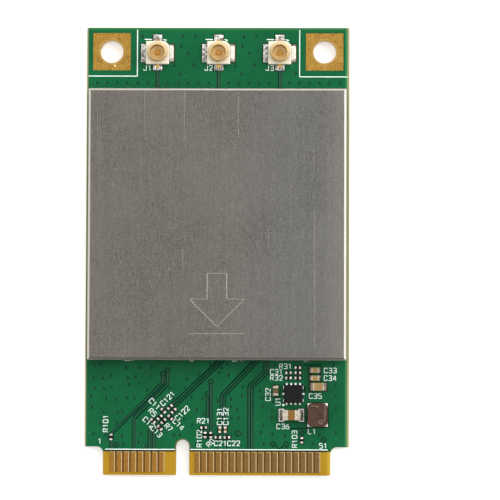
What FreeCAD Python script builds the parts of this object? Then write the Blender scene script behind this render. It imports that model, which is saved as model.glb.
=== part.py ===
"""Full-length mini card radio module, as the separate pieces that it is soldered up from.

X runs across the card, Y runs from the connector tab up to the antenna receptacles, and Z rises from the
flat underside of the board. Lengths are in millimetres.
"""
import FreeCAD
import Part
import Sketcher
import math
import os
import re

SIZES = {
    # Board outline
    "board_length": 50.80,
    "board_width": 29.85,
    "board_thickness": 1.00,
    "tab_width": 25.70,
    "tab_depth": 3.20,
    "tab_root_radius": 0.70,
    "tab_corner_radius": 0.12,
    "key_width": 1.50,
    "key_depth": 4.00,
    "key_distance": 9.00,
    # Bare connector tab and its contacts
    "mask_depth": 0.05,
    "bare_depth": 2.70,
    "plating": 0.04,
    "contact_pitch": 0.80,
    "contact_width": 0.60,
    "contact_length": 2.35,
    "contact_corner": 0.10,
    "contact_end_gap": 0.30,
    "contact_first": 1.05,
    "contact_stagger": 0.40,
    # Mounting holes and their plated lands
    "hole_diameter": 2.60,
    "hole_inset": 2.825,
    "hole_setback": 2.75,
    "land_side": 4.25,
    "land_relief": 0.03,
    # Shield outline on the board
    "shield_side_margin": 0.325,
    "shield_top_margin": 7.10,
    "shield_bottom_margin": 12.94,
    "shield_height": 2.15,
    # Shield cover
    "cover_sheet": 0.15,
    "cover_bend": 0.35,
    "cover_corner_cut": 0.12,
    "cover_corner_gap": 0.50,
    "cover_lift": 0.30,
    "slit_width": 0.25,
    "slit_height": 1.20,
    "slit_margin": 1.60,
    "ridge_length": 2.00,
    "ridge_height": 0.40,
    "ridge_slope": 0.12,
    "ridge_depth": 0.10,
    "ridge_drop": 1.10,
    # Shield frame
    "frame_sheet": 0.20,
    "frame_corner": 0.30,
    "frame_fit": 0.04,
    "frame_flange": 1.20,
    "frame_bridge": 2.40,
    "window_corner": 0.80,
    "pickup_diameter": 4.00,
    "arch_width": 2.40,
    "arch_height": 0.40,
    "snap_clearance": 0.08,
    # Antenna receptacles
    "coax_pitch": 6.95,
    "coax_shift": 0.05,
    "coax_setback": 2.90,
    "base_side": 2.60,
    "base_height": 0.55,
    "base_key": 0.45,
    "base_edge": 0.06,
    "well_floor": 0.40,
    "ring_outer": 2.00,
    "ring_inner": 1.66,
    "ring_height": 1.25,
    "ring_seat": 0.25,
    "ring_neck": 0.07,
    "ring_lip": 0.26,
    "ring_slope": 0.08,
    "tail_thickness": 0.10,
    "tail_reach": 1.85,
    "side_tail_width": 1.50,
    "end_tail_width": 0.60,
    "riser_width": 0.50,
    "pin_diameter": 0.50,
    "pin_height": 1.00,
    "pin_tip": 0.12,
    "signal_tail_width": 0.40,
    "moulding_fit": 0.02,
    # Voltage regulator, placed from the right edge and the end of the tab
    "regulator_from_right": 6.285,
    "regulator_from_end": 9.20,
    "regulator_side": 2.00,
    "regulator_height": 0.75,
    "regulator_edge": 0.06,
    "terminal_pitch": 0.50,
    "terminal_width": 0.24,
    "terminal_length": 0.45,
    "terminal_toe": 0.12,
    "terminal_thickness": 0.05,
    # Power inductor
    "inductor_from_right": 3.545,
    "inductor_from_end": 6.83,
    "inductor_width": 2.25,
    "inductor_length": 2.65,
    "inductor_height": 1.20,
    "inductor_corner": 0.32,
    "inductor_flange": 0.30,
    "inductor_post": 1.10,
    "winding_thickness": 0.35,
    "winding_fit": 0.02,
    "inductor_terminal_width": 0.60,
    "inductor_terminal_thickness": 0.08,
    # Chip capacitors of the power section: length, width, height and length of an end cap
    "output_length": 2.00,
    "output_width": 1.15,
    "output_height": 1.10,
    "output_cap": 0.62,
    "output_from_right": 6.495,
    "output_from_end": 6.80,
    "input_length": 1.70,
    "input_width": 0.90,
    "input_height": 0.80,
    "input_cap": 0.35,
    "input_from_right": 3.465,
    "input_from_end": 10.01,
    "bypass_length": 1.10,
    "bypass_width": 0.62,
    "bypass_height": 0.58,
    "bypass_cap": 0.26,
    "bypass_from_right": 8.285,
    "bypass_from_end": 9.54,
    "filter_from_right": 3.85,
    "filter_from_end": 10.99,
    "filter_pitch": 0.89,
    "cap_edge": 0.06,
    "cap_wrap": 0.02,
    # Smallest chip parts
    "small_length": 0.60,
    "small_width": 0.30,
    "small_height": 0.26,
    "small_cap": 0.15,
    "small_wrap": 0.01,
    "grid_from_right": 5.785,
    "grid_from_end": 12.16,
    "grid_column": 1.05,
    "grid_row": 0.58,
    "ladder_x": -6.24,
    "ladder_from_end": 6.30,
    "ladder_step": 0.82,
    "ladder_pair": 1.09,
    "ladder_gap": 0.60,
    "pull_x": -1.48,
    "pull_from_end": 5.37,
    "pull_pair_x": -0.985,
    "pull_pair_from_end": 4.54,
    "pull_pair_gap": 0.63,
    "couple_x": 0.66,
    "couple_from_end": 5.13,
    "couple_gap": 0.62,
    "shunt_x": 0.64,
    "shunt_from_end": 4.27,
    "shunt_gap": 1.02,
    "left_single_from_tab": 0.90,
    "left_single_from_end": 4.27,
    "right_single_from_tab": 3.24,
    "right_single_from_end": 3.98,
    # Parts under the shield
    "radio_side": 11.00,
    "radio_height": 0.90,
    "radio_from_bottom": 6.80,
    "moulding_edge": 0.10,
    "pin_mark_diameter": 0.60,
    "pin_mark_depth": 0.08,
    "pin_mark_inset": 0.90,
    "thermal_side": 7.00,
    "front_end_side": 3.00,
    "front_end_height": 0.75,
    "front_end_from_top": 6.60,
    "band_length": 1.60,
    "band_width": 2.00,
    "band_height": 0.60,
    "band_from_top": 2.90,
    "crystal_length": 2.50,
    "crystal_width": 3.20,
    "crystal_height": 0.70,
    "crystal_corner": 0.30,
    "crystal_x": 9.60,
    "memory_length": 2.00,
    "memory_width": 3.00,
    "memory_height": 0.75,
    "memory_x": -9.60,
    "decoupling_gap": 0.70,
    "decoupling_pitch": 2.60,
}

COUNT_BEFORE_KEY = 8
COUNT_LEFT_OUT = 4
COUNT_AFTER_KEY = 18
SLIT_COUNT = 5
RIDGE_COUNT = SLIT_COUNT - 1
ARCH_COUNT = 3
RECEPTACLE_COUNT = 3
TERMINAL_COUNT = 4
DECOUPLING_COUNT = 4

doc = FreeCAD.newDocument("mini_card")
sheet = doc.addObject("Spreadsheet::Sheet", "Sizes")
for row, (alias, number) in enumerate(SIZES.items(), start=1):
    sheet.set(f"A{row}", alias)
    sheet.set(f"B{row}", str(number))
    sheet.setAlias(f"B{row}", alias)
doc.recompute()

pieces = []


def sized(text):
    """The text of a size, with each name pointing at its cell."""
    return re.sub(r"[a-z_]+", lambda found: f"Sizes.{found[0]}" if found[0] in SIZES else found[0], text)


def amount(text):
    """The present number behind the text of a size."""
    found = sheet.evalExpression(sized(text))
    return float(getattr(found, "Value", found))


def bind(thing, name, text):
    thing.setExpression(name, sized(text))


def place(thing, x="0", y="0", z="0", turn=0):
    """Set a piece down at a place that follows the sheet, turned about the upright axis."""
    upright = FreeCAD.Vector(0, 0, 1)
    thing.Placement = FreeCAD.Placement(FreeCAD.Vector(), FreeCAD.Rotation(upright, turn))
    for axis, text in zip("xyz", (x, y, z)):
        bind(thing, f"Placement.Base.{axis}", text)
    return thing


def finish(thing, label):
    """Name a finished piece and keep it for the export."""
    thing.Label = label
    pieces.append(thing)
    return thing


def group(name, things):
    held = doc.addObject("Part::Compound", name)
    held.Links = things
    return held


def block(name, length, width, height, x="0", y="0", z="0"):
    """An upright block centred on x and y, standing on z."""
    made = doc.addObject("Part::Box", name)
    bind(made, "Length", length)
    bind(made, "Width", width)
    bind(made, "Height", height)
    return place(made, f"{x} - ({length}) / 2", f"{y} - ({width}) / 2", z)


def new_body(name):
    return doc.addObject("PartDesign::Body", name)


def new_sketch(body, height="0", role="XY_Plane"):
    """An empty sketch on one of the body's own planes, moved along that plane's normal."""
    sketch = body.newObject("Sketcher::SketchObject", f"{body.Name}_sketch")
    plane = next(plane for plane in body.Origin.OriginFeatures if plane.Role == role)
    sketch.AttachmentSupport = [(plane, "")]
    sketch.MapMode = "FlatFace"
    bind(sketch, "AttachmentOffset.Base.z", height)
    return sketch


def fix(sketch, kind, geometry, point, text):
    """Tie one coordinate of a sketch point to the sheet."""
    index = sketch.addConstraint(Sketcher.Constraint(kind, -1, 1, geometry, point, amount(text)))
    bind(sketch, f"Constraints[{index}]", text)


def arc_between(start, end, radius, left):
    """The shorter arc from start to end, turning left or right on the way."""
    middle = (start + end) / 2
    half = (end - start) / 2
    rise = math.sqrt(max(radius ** 2 - half.Length ** 2, 0))
    side = FreeCAD.Vector(-half.y, half.x, 0).normalize()
    centre = middle + side * (rise if left else -rise)
    first, last = (start, end) if left else (end, start)
    angles = [math.atan2(point.y - centre.y, point.x - centre.x) for point in (first, last)]
    circle = Part.Circle(centre, FreeCAD.Vector(0, 0, 1), radius)
    return Part.ArcOfCircle(circle, angles[0], angles[1])


def draw(sketch, corners):
    """Draw a closed outline; a corner (x, y) runs straight on, (x, y, radius, turn) runs on in an arc.

    The turn is "left" or "right". An arc with the turn "over" is half a circle that turns right.
    """
    points = [FreeCAD.Vector(amount(corner[0]), amount(corner[1]), 0) for corner in corners]
    ends = []
    for index, corner in enumerate(corners):
        start = points[index]
        end = points[(index + 1) % len(points)]
        if len(corner) == 2:
            geometry = sketch.addGeometry(Part.LineSegment(start, end))
            ends.append((geometry, 1, 2))
            continue
        left = corner[3] == "left"
        geometry = sketch.addGeometry(arc_between(start, end, amount(corner[2]), left))
        ends.append((geometry, 1, 2) if left else (geometry, 2, 1))
    for index, corner in enumerate(corners):
        geometry, first, last = ends[index]
        following, next_first, next_last = ends[(index + 1) % len(ends)]
        sketch.addConstraint(Sketcher.Constraint("Coincident", geometry, last, following, next_first))
        fix(sketch, "DistanceX", geometry, first, corner[0])
        fix(sketch, "DistanceY", geometry, first, corner[1])
        if len(corner) == 2:
            continue
        if corner[3] == "over":
            fix(sketch, "DistanceY", geometry, 3, corner[1])
            continue
        index = sketch.addConstraint(Sketcher.Constraint("Radius", geometry, amount(corner[2])))
        bind(sketch, f"Constraints[{index}]", corner[2])


def draw_circle(sketch, x, y, diameter):
    centre = FreeCAD.Vector(amount(x), amount(y), 0)
    circle = Part.Circle(centre, FreeCAD.Vector(0, 0, 1), amount(diameter) / 2)
    geometry = sketch.addGeometry(circle)
    fix(sketch, "DistanceX", geometry, 3, x)
    fix(sketch, "DistanceY", geometry, 3, y)
    index = sketch.addConstraint(Sketcher.Constraint("Diameter", geometry, amount(diameter)))
    bind(sketch, f"Constraints[{index}]", diameter)


def rectangle(x0, x1, y0, y1):
    return [(x0, y0), (x1, y0), (x1, y1), (x0, y1)]


def centred(x, y, width, height):
    """A rectangle round a centre."""
    return rectangle(f"{x} - ({width}) / 2", f"{x} + ({width}) / 2",
                     f"{y} - ({height}) / 2", f"{y} + ({height}) / 2")


def rounded(x0, x1, y0, y1, radius):
    """A rectangle whose corners are rounded off."""
    return [
        (f"{x0} + {radius}", y0),
        (f"{x1} - {radius}", y0, radius, "left"),
        (x1, f"{y0} + {radius}"),
        (x1, f"{y1} - {radius}", radius, "left"),
        (f"{x1} - {radius}", y1),
        (f"{x0} + {radius}", y1, radius, "left"),
        (x0, f"{y1} - {radius}"),
        (x0, f"{y0} + {radius}", radius, "left"),
    ]


def pad(body, sketch, length):
    made = body.newObject("PartDesign::Pad", f"{body.Name}_pad")
    made.Profile = sketch
    bind(made, "Length", length)
    doc.recompute()
    return made


def pocket(body, sketch, depth=None, upwards=False):
    """Cut a sketch into the body, down to a depth or right through both ways."""
    made = body.newObject("PartDesign::Pocket", f"{body.Name}_pocket")
    made.Profile = sketch
    if depth is None:
        made.Type = "ThroughAll"
        made.SideType = "Symmetric"
    else:
        bind(made, "Length", depth)
        made.Reversed = upwards
    doc.recompute()
    return made


def repeat(body, feature, spacing, count):
    """Repeat a feature along the first axis of its sketch."""
    made = body.newObject("PartDesign::LinearPattern", f"{body.Name}_row")
    made.Originals = [feature]
    made.Direction = (feature.Profile[0], ["H_Axis"])
    made.Occurrences = count
    bind(made, "Length", f"({spacing}) * {count - 1}")
    body.Tip = made
    doc.recompute()
    return made


def face_name(feature, height, upwards=True):
    """The level face of a feature at a height, looking up or down."""
    for index, face in enumerate(feature.Shape.Faces, start=1):
        level = face.BoundBox.ZLength < 1e-6 and abs(face.BoundBox.ZMin - amount(height)) < 1e-6
        if level and (face.normalAt(0, 0).z > 0) == upwards:
            return f"Face{index}"
    raise ValueError(f"{feature.Name} has no level face at {height}")


def soften(body, feature, height, kind, size, upwards=True):
    """Round or bevel every edge of one level face."""
    made = body.newObject(f"PartDesign::{kind}", f"{body.Name}_edge")
    made.Base = (feature, [face_name(feature, height, upwards)])
    bind(made, "Radius" if kind == "Fillet" else "Size", size)
    doc.recompute()
    return made


def moulded(name, length, width, height, edge):
    """A moulded block standing on zero, with its upper edges bevelled."""
    body = new_body(name)
    sketch = new_sketch(body)
    draw(sketch, centred("0", "0", length, width))
    soften(body, pad(body, sketch, height), height, "Chamfer", edge)
    return body


top = "board_length / 2"
tab_end = "-board_length / 2"
right = "board_width / 2"
shoulder = "-board_length / 2 + tab_depth"
key_x = "-tab_width / 2 + key_distance"
hole_x = "board_width / 2 - hole_inset"
surface = "board_thickness"


def board():
    """The board with its keyed tab, bared tab faces, screw holes and sunk land areas."""
    body = new_body("board")
    key_left = f"{key_x} - key_width / 2"
    key_right = f"{key_x} + key_width / 2"
    key_turn = f"{tab_end} + key_depth - key_width / 2"
    outline = new_sketch(body)
    draw(outline, [
        ("-tab_width / 2 + tab_corner_radius", tab_end),
        (key_left, tab_end),
        (key_left, key_turn, "key_width / 2", "over"),
        (key_right, key_turn),
        (key_right, tab_end),
        ("tab_width / 2 - tab_corner_radius", tab_end, "tab_corner_radius", "left"),
        ("tab_width / 2", f"{tab_end} + tab_corner_radius"),
        ("tab_width / 2", f"{shoulder} - tab_root_radius", "tab_root_radius", "right"),
        ("tab_width / 2 + tab_root_radius", shoulder),
        (right, shoulder),
        (right, top),
        (f"-{right}", top),
        (f"-{right}", shoulder),
        ("-tab_width / 2 - tab_root_radius", shoulder, "tab_root_radius", "right"),
        ("-tab_width / 2", f"{shoulder} - tab_root_radius"),
        ("-tab_width / 2", f"{tab_end} + tab_corner_radius", "tab_corner_radius", "left"),
    ])
    pad(body, outline, "board_thickness")
    for height, upwards in ((surface, False), ("0", True)):
        bared = new_sketch(body, height)
        draw(bared, rectangle("-board_width", "board_width", "-board_length", f"{tab_end} + bare_depth"))
        pocket(body, bared, "mask_depth", upwards)
        sunk = new_sketch(body, height)
        for side in ("-", ""):
            opening = "land_side + 2 * land_relief"
            draw(sunk, centred(f"{side}({hole_x})", f"{top} - hole_setback", opening, opening))
        pocket(body, sunk, "mask_depth", upwards)
    holes = new_sketch(body)
    for side in ("-", ""):
        draw_circle(holes, f"{side}({hole_x})", f"{top} - hole_setback", "hole_diameter + 2 * plating")
    pocket(body, holes)
    finish(body, "circuit_board")


def contact_row(label, first, height):
    """One face's row of contacts, in two runs with places left out round the key."""
    body = new_body(label)
    low = f"{tab_end} + contact_end_gap"
    high = f"{low} + contact_length"
    runs = ((0, COUNT_BEFORE_KEY), (COUNT_BEFORE_KEY + COUNT_LEFT_OUT, COUNT_AFTER_KEY))
    for start, count in runs:
        centre = f"{first} + {start} * contact_pitch"
        left_side = f"{centre} - contact_width / 2"
        right_side = f"{centre} + contact_width / 2"
        sketch = new_sketch(body, height)
        draw(sketch, [
            (f"{left_side} + contact_corner", low),
            (f"{right_side} - contact_corner", low),
            (right_side, f"{low} + contact_corner"),
            (right_side, high),
            (left_side, high),
            (left_side, f"{low} + contact_corner"),
        ])
        repeat(body, pad(body, sketch, "plating"), "contact_pitch", count)
    finish(body, label)


def mounting_land(label, side):
    """A plated land: a square on each face, joined by the plated wall of the hole."""
    low = block(f"{label}_low", "land_side", "land_side", "plating", z="mask_depth - plating")
    high = block(f"{label}_high", "land_side", "land_side", "plating", z="board_thickness - mask_depth")
    barrel = doc.addObject("Part::Cylinder", f"{label}_barrel")
    bind(barrel, "Radius", "hole_diameter / 2 + plating")
    bind(barrel, "Height", "board_thickness - 2 * mask_depth")
    place(barrel, z="mask_depth")
    bore = doc.addObject("Part::Cylinder", f"{label}_bore")
    bind(bore, "Radius", "hole_diameter / 2")
    bind(bore, "Height", "board_thickness")
    plated = doc.addObject("Part::MultiFuse", f"{label}_plated")
    plated.Shapes = [low, barrel, high]
    land = doc.addObject("Part::Cut", label)
    land.Base = plated
    land.Tool = bore
    place(land, f"{side}({hole_x})", f"{top} - hole_setback")
    finish(land, label)


shield_width = "(board_width - 2 * shield_side_margin)"
shield_length = "(board_length - shield_top_margin - shield_bottom_margin)"
shield_y = "((shield_bottom_margin - shield_top_margin) / 2)"
shield_top = "(board_length / 2 - shield_top_margin)"
shield_bottom = "(shield_bottom_margin - board_length / 2)"
cover_top = "(board_thickness + shield_height)"
cover_inside = "(board_thickness + shield_height - cover_sheet)"
snap_height = "(board_thickness + shield_height - ridge_drop)"


def wall_pitch(length):
    """The spacing of the slits along a wall of the shield."""
    return f"(({length} - 2 * slit_margin) / {SLIT_COUNT - 1})"


def walls():
    """The two pairs of walls: sketch plane, middle of the wall and spacing along it."""
    return (("XZ_Plane", "0", wall_pitch(shield_width)), ("YZ_Plane", shield_y, wall_pitch(shield_length)))


def shell(body, outline, low, high, sheet, kind, edge):
    """A sheet-metal box, open below, drawn up from its outline with softened upper edges."""
    sketch = new_sketch(body, low)
    draw(sketch, outline)
    formed = soften(body, pad(body, sketch, f"{high} - ({low})"), high, kind, edge)
    hollow = body.newObject("PartDesign::Thickness", f"{body.Name}_sheet")
    hollow.Base = (formed, [face_name(formed, low, upwards=False)])
    hollow.Reversed = True
    bind(hollow, "Value", sheet)
    doc.recompute()


def pressed_ridges(label, inset):
    """The ridges pressed into the cover's walls, as tapered blocks that start at a depth in the wall."""
    half_length = "ridge_length / 2"
    half_height = "ridge_height / 2"
    ridges = []
    for role, middle, pitch in walls():
        for index in range(RIDGE_COUNT):
            along = f"{middle} + {pitch} * {index - (RIDGE_COUNT - 1) / 2}"
            for side, sign in enumerate(("-", "+")):
                ridge = doc.addObject("Part::Wedge", "ridge")
                for name, text in (
                        ("Xmin", f"-{half_length}"), ("Xmax", half_length),
                        ("Ymin", "0"), ("Ymax", "ridge_depth"),
                        ("Zmin", f"-{half_height}"), ("Zmax", half_height),
                        ("X2min", f"-({half_length} - ridge_slope)"), ("X2max", f"{half_length} - ridge_slope"),
                        ("Z2min", f"-({half_height} - ridge_slope)"), ("Z2max", f"{half_height} - ridge_slope")):
                    bind(ridge, name, text)
                if role == "XZ_Plane":
                    wall = f"{shield_y} {sign} ({shield_length} / 2 - ({inset}))"
                    ridges.append(place(ridge, along, wall, snap_height, 180 * side))
                else:
                    wall = f"0 {sign} ({shield_width} / 2 - ({inset}))"
                    ridges.append(place(ridge, wall, along, snap_height, 180 * side - 90))
    return group(label, ridges)


def shield_cover():
    """The lid: a folded box with open corners, slit walls and pressed ridges that clip into the frame."""
    body = new_body("cover")
    low = f"{surface} + cover_lift"
    half_width = f"{shield_width} / 2"
    outline = centred("0", shield_y, shield_width, shield_length)
    shell(body, outline, low, cover_top, "cover_sheet", "Fillet", "cover_bend")
    corners = new_sketch(body, low)
    gaps = new_sketch(body, low)
    for across, inward in (("-", "+"), ("", "-")):
        for along, back in (("-", "+"), ("+", "-")):
            corner_x = f"{across}{half_width}"
            corner_y = f"{shield_y} {along} {shield_length} / 2"
            draw(corners, [
                (corner_x, corner_y),
                (f"{corner_x} {inward} cover_corner_cut", corner_y),
                (corner_x, f"{corner_y} {back} cover_corner_cut"),
            ])
            draw(gaps, centred(corner_x, corner_y, "2 * cover_corner_gap", "2 * cover_corner_gap"))
    pocket(body, corners, "shield_height", upwards=True)
    pocket(body, gaps, "slit_height", upwards=True)
    for role, middle, pitch in walls():
        slit = new_sketch(body, role=role)
        first = f"{middle} - {pitch} * {(SLIT_COUNT - 1) / 2}"
        draw(slit, rectangle(f"{first} - slit_width / 2", f"{first} + slit_width / 2",
                             surface, f"{low} + slit_height"))
        repeat(body, pocket(body, slit), pitch, SLIT_COUNT)
    raised = doc.addObject("Part::Fuse", "cover_raised")
    raised.Base = body
    raised.Tool = pressed_ridges("cover_ridges", "cover_sheet")
    cover = doc.addObject("Part::Cut", "cover_formed")
    cover.Base = raised
    cover.Tool = pressed_ridges("cover_grooves", "0")
    finish(cover, "shield_cover")


def shield_frame():
    """The soldered fence: walls on feet, a bridged rim and windows for the cover's ridges."""
    body = new_body("frame")
    gap = "2 * (cover_sheet + frame_fit)"
    width = f"({shield_width} - {gap})"
    length = f"({shield_length} - {gap})"
    left_wall = f"-{width} / 2"
    right_wall = f"{width} / 2"
    low_wall = f"{shield_y} - {length} / 2"
    high_wall = f"{shield_y} + {length} / 2"
    outline = rounded(left_wall, right_wall, low_wall, high_wall, "frame_corner")
    shell(body, outline, surface, cover_inside, "frame_sheet", "Chamfer", "cover_bend - cover_sheet")
    openings = new_sketch(body, cover_inside)
    inset = "(frame_sheet + frame_flange)"
    left_side = f"{left_wall} + {inset}"
    right_side = f"{right_wall} - {inset}"
    draw(openings, rounded(left_side, right_side, f"{shield_y} + frame_bridge / 2",
                           f"{high_wall} - {inset}", "window_corner"))
    draw(openings, rounded(left_side, right_side, f"{low_wall} + {inset}",
                           f"{shield_y} - frame_bridge / 2", "window_corner"))
    pocket(body, openings, "frame_sheet")
    pickup = new_sketch(body, f"{cover_inside} - frame_sheet")
    draw_circle(pickup, "0", shield_y, "pickup_diameter")
    pad(body, pickup, "frame_sheet")
    for role, middle, pitch in walls():
        arch = new_sketch(body, role=role)
        first = f"{middle} - {pitch} * {(ARCH_COUNT - 1) / 2}"
        draw(arch, centred(first, surface, "arch_width", "2 * arch_height"))
        repeat(body, pocket(body, arch), pitch, ARCH_COUNT)
        window = new_sketch(body, role=role)
        first = f"{middle} - {pitch} * {(RIDGE_COUNT - 1) / 2}"
        draw(window, centred(first, snap_height, "ridge_length + 2 * snap_clearance",
                             "ridge_height + 2 * snap_clearance"))
        repeat(body, pocket(body, window), pitch, RIDGE_COUNT)
    finish(body, "shield_frame")


def coax_tails(grow):
    """The outlines of a receptacle's ground tails, grown all round by a clearance."""
    inner = f"ring_inner / 2 - ({grow})"
    reach = f"tail_reach + {grow}"
    side = f"side_tail_width / 2 + {grow}"
    end = f"end_tail_width / 2 + {grow}"
    return (
        rectangle(inner, reach, f"-({side})", side),
        rectangle(f"-({reach})", f"-({inner})", f"-({side})", side),
        rectangle(f"-({end})", end, inner, reach),
    )


def coax_risers(grow):
    """The outlines of the legs between the ring and its tails, grown all round by a clearance."""
    inner = f"ring_inner / 2 - ({grow})"
    outer = f"sqrt(ring_outer ^ 2 - riser_width ^ 2) / 2 + {grow}"
    side = f"riser_width / 2 + {grow}"
    return (
        rectangle(inner, outer, f"-({side})", side),
        rectangle(f"-({outer})", f"-({inner})", f"-({side})", side),
        rectangle(f"-({side})", side, inner, outer),
    )


def coax_insulator(label, spot):
    """The moulded base with its cut corner, ring groove, well and tail channels."""
    body = new_body(label)
    half = "base_side / 2"
    outline = new_sketch(body)
    draw(outline, [
        (f"-{half}", f"-{half}"),
        (half, f"-{half}"),
        (half, f"{half} - base_key"),
        (f"{half} - base_key", half),
        (f"-{half}", half),
    ])
    soften(body, pad(body, outline, "base_height"), "base_height", "Chamfer", "base_edge")
    groove = new_sketch(body, "base_height")
    draw_circle(groove, "0", "0", "ring_outer + 2 * moulding_fit")
    draw_circle(groove, "0", "0", "ring_inner - 2 * moulding_fit")
    pocket(body, groove, "base_height - ring_seat")
    well = new_sketch(body, "base_height")
    draw_circle(well, "0", "0", "ring_inner")
    pocket(body, well, "base_height - well_floor")
    bore = new_sketch(body)
    draw_circle(bore, "0", "0", "pin_diameter + 2 * moulding_fit")
    pocket(body, bore)
    channels = new_sketch(body)
    for outline in coax_tails("moulding_fit"):
        draw(channels, outline)
    side = "signal_tail_width / 2 + moulding_fit"
    draw(channels, rectangle(f"-({side})", side, "-base_side", "0"))
    pocket(body, channels, "tail_thickness + moulding_fit", upwards=True)
    shafts = new_sketch(body)
    for outline in coax_risers("moulding_fit"):
        draw(shafts, outline)
    pocket(body, shafts, "ring_seat", upwards=True)
    finish(place(body, *spot, surface), label)


def coax_shell(label, spot):
    """The ground contact: a drawn ring with a snap neck, on legs that end in three solder tails."""
    body = new_body(label)
    tails = new_sketch(body)
    for outline in coax_tails("0"):
        draw(tails, outline)
    pad(body, tails, "tail_thickness")
    legs = new_sketch(body)
    for outline in coax_risers("0"):
        draw(legs, outline)
    pad(body, legs, "ring_seat")
    inner = "ring_inner / 2"
    outer = "ring_outer / 2"
    neck = "ring_outer / 2 - ring_neck"
    profile = new_sketch(body, role="XZ_Plane")
    draw(profile, [
        (inner, "ring_seat"),
        (outer, "ring_seat"),
        (outer, "base_height + ring_slope"),
        (neck, "base_height + 2 * ring_slope"),
        (neck, "ring_height - ring_lip"),
        (outer, "ring_height - ring_lip + ring_slope"),
        (outer, "ring_height - ring_slope"),
        (f"{outer} - ring_slope", "ring_height"),
        (inner, "ring_height"),
    ])
    ring = body.newObject("PartDesign::Revolution", f"{label}_ring")
    ring.Profile = profile
    ring.ReferenceAxis = (profile, ["V_Axis"])
    ring.Angle = 360
    doc.recompute()
    finish(place(body, *spot, surface), label)


def coax_pin(label, spot):
    """The centre contact: an upright pin with a bevelled tip on a flat solder tail."""
    body = new_body(label)
    tail = new_sketch(body)
    half = "signal_tail_width / 2"
    draw(tail, rectangle(f"-{half}", half, "-tail_reach", "0"))
    pad(body, tail, "tail_thickness")
    stem = new_sketch(body)
    draw_circle(stem, "0", "0", "pin_diameter")
    soften(body, pad(body, stem, "pin_height"), "pin_height", "Chamfer", "pin_tip")
    finish(place(body, *spot, surface), label)


def receptacles():
    for index in range(RECEPTACLE_COUNT):
        x = f"coax_shift + {index - (RECEPTACLE_COUNT - 1) / 2} * coax_pitch"
        spot = (x, f"{top} - coax_setback")
        coax_insulator(f"coax_insulator_{index + 1}", spot)
        coax_shell(f"coax_shell_{index + 1}", spot)
        coax_pin(f"coax_pin_{index + 1}", spot)


def regulator():
    """The leadless regulator on its terminals: a row above and below, and one on each side."""
    x = f"{right} - regulator_from_right"
    y = f"{tab_end} + regulator_from_end"
    chip = moulded("regulator_body", "regulator_side", "regulator_side", "regulator_height", "regulator_edge")
    finish(place(chip, x, y, f"{surface} + terminal_thickness"), "regulator_chip")
    centre = "regulator_side / 2 + terminal_toe - terminal_length / 2"
    terminals = []
    for side in ("-", ""):
        for index in range(TERMINAL_COUNT):
            along = f"{index - (TERMINAL_COUNT - 1) / 2} * terminal_pitch"
            terminals.append(block("terminal", "terminal_width", "terminal_length", "terminal_thickness",
                                   along, f"{side}({centre})"))
        terminals.append(block("terminal", "terminal_length", "terminal_width", "terminal_thickness",
                               f"{side}({centre})", "0"))
    finish(place(group("terminals", terminals), x, y, surface), "regulator_terminals")


def inductor():
    """The choke: a drum core with cut corners, its winding, and two terminal plates underneath."""
    x = f"{right} - inductor_from_right"
    y = f"{tab_end} + inductor_from_end"
    half_width = "inductor_width / 2"
    half_length = "inductor_length / 2"
    cut = "inductor_corner"
    octagon = []
    for across, along in (("", "-"), ("", ""), ("-", ""), ("-", "-")):
        near = (f"{across}({half_width} - {cut})", f"{along}({half_length})")
        far = (f"{across}({half_width})", f"{along}({half_length} - {cut})")
        octagon.extend((near, far) if across != along else (far, near))
    core = new_body("inductor_core")
    window = "inductor_height - inductor_terminal_thickness - 2 * inductor_flange"
    for low in ("0", f"inductor_flange + {window}"):
        flange = new_sketch(core, low)
        draw(flange, octagon)
        pad(core, flange, "inductor_flange")
        if low == "0":
            post = new_sketch(core, "inductor_flange")
            draw_circle(post, "0", "0", "inductor_post")
            pad(core, post, window)
    seat = f"{surface} + inductor_terminal_thickness"
    finish(place(core, x, y, seat), "power_inductor_core")
    coil = new_body("inductor_coil")
    ring = new_sketch(coil)
    draw_circle(ring, "0", "0", "inductor_post + 2 * winding_fit")
    draw_circle(ring, "0", "0", "inductor_post + 2 * winding_fit + 2 * winding_thickness")
    pad(coil, ring, window)
    finish(place(coil, x, y, f"{seat} + inductor_flange"), "power_inductor_winding")
    plates = [
        block("plate", "inductor_terminal_width", "inductor_length", "inductor_terminal_thickness",
              f"{side}(inductor_width / 2 - inductor_terminal_width / 2)")
        for side in ("-", "")
    ]
    finish(place(group("plates", plates), x, y, surface), "power_inductor_terminals")


def chip_part(kind, wrap, edge=None):
    """A ceramic chip lying along X: its body, and its two end caps, which stand a little proud."""
    length = f"{kind}_length"
    cap = f"{kind}_cap"
    ceramic = block("ceramic", f"{length} - 2 * {cap}", f"{kind}_width - 2 * {wrap}",
                    f"{kind}_height - 2 * {wrap}", z=wrap)
    caps = []
    for side in ("-", ""):
        middle = f"{side}({length} - {cap}) / 2"
        if edge is None:
            caps.append(block("cap", cap, f"{kind}_width", f"{kind}_height", middle))
            continue
        rounded_cap = moulded("cap", cap, f"{kind}_width", f"{kind}_height", edge)
        caps.append(place(rounded_cap, middle))
    return ceramic, group("caps", caps)


def single_chip(label, kind, x, y, turn=0):
    """One of the larger chip capacitors, as a body node and a node of end caps."""
    ceramic, caps = chip_part(kind, "cap_wrap", "cap_edge")
    finish(place(group(f"{label}_part", [ceramic]), x, y, surface, turn), f"{label}_body")
    finish(place(caps, x, y, surface, turn), f"{label}_caps")


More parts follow.
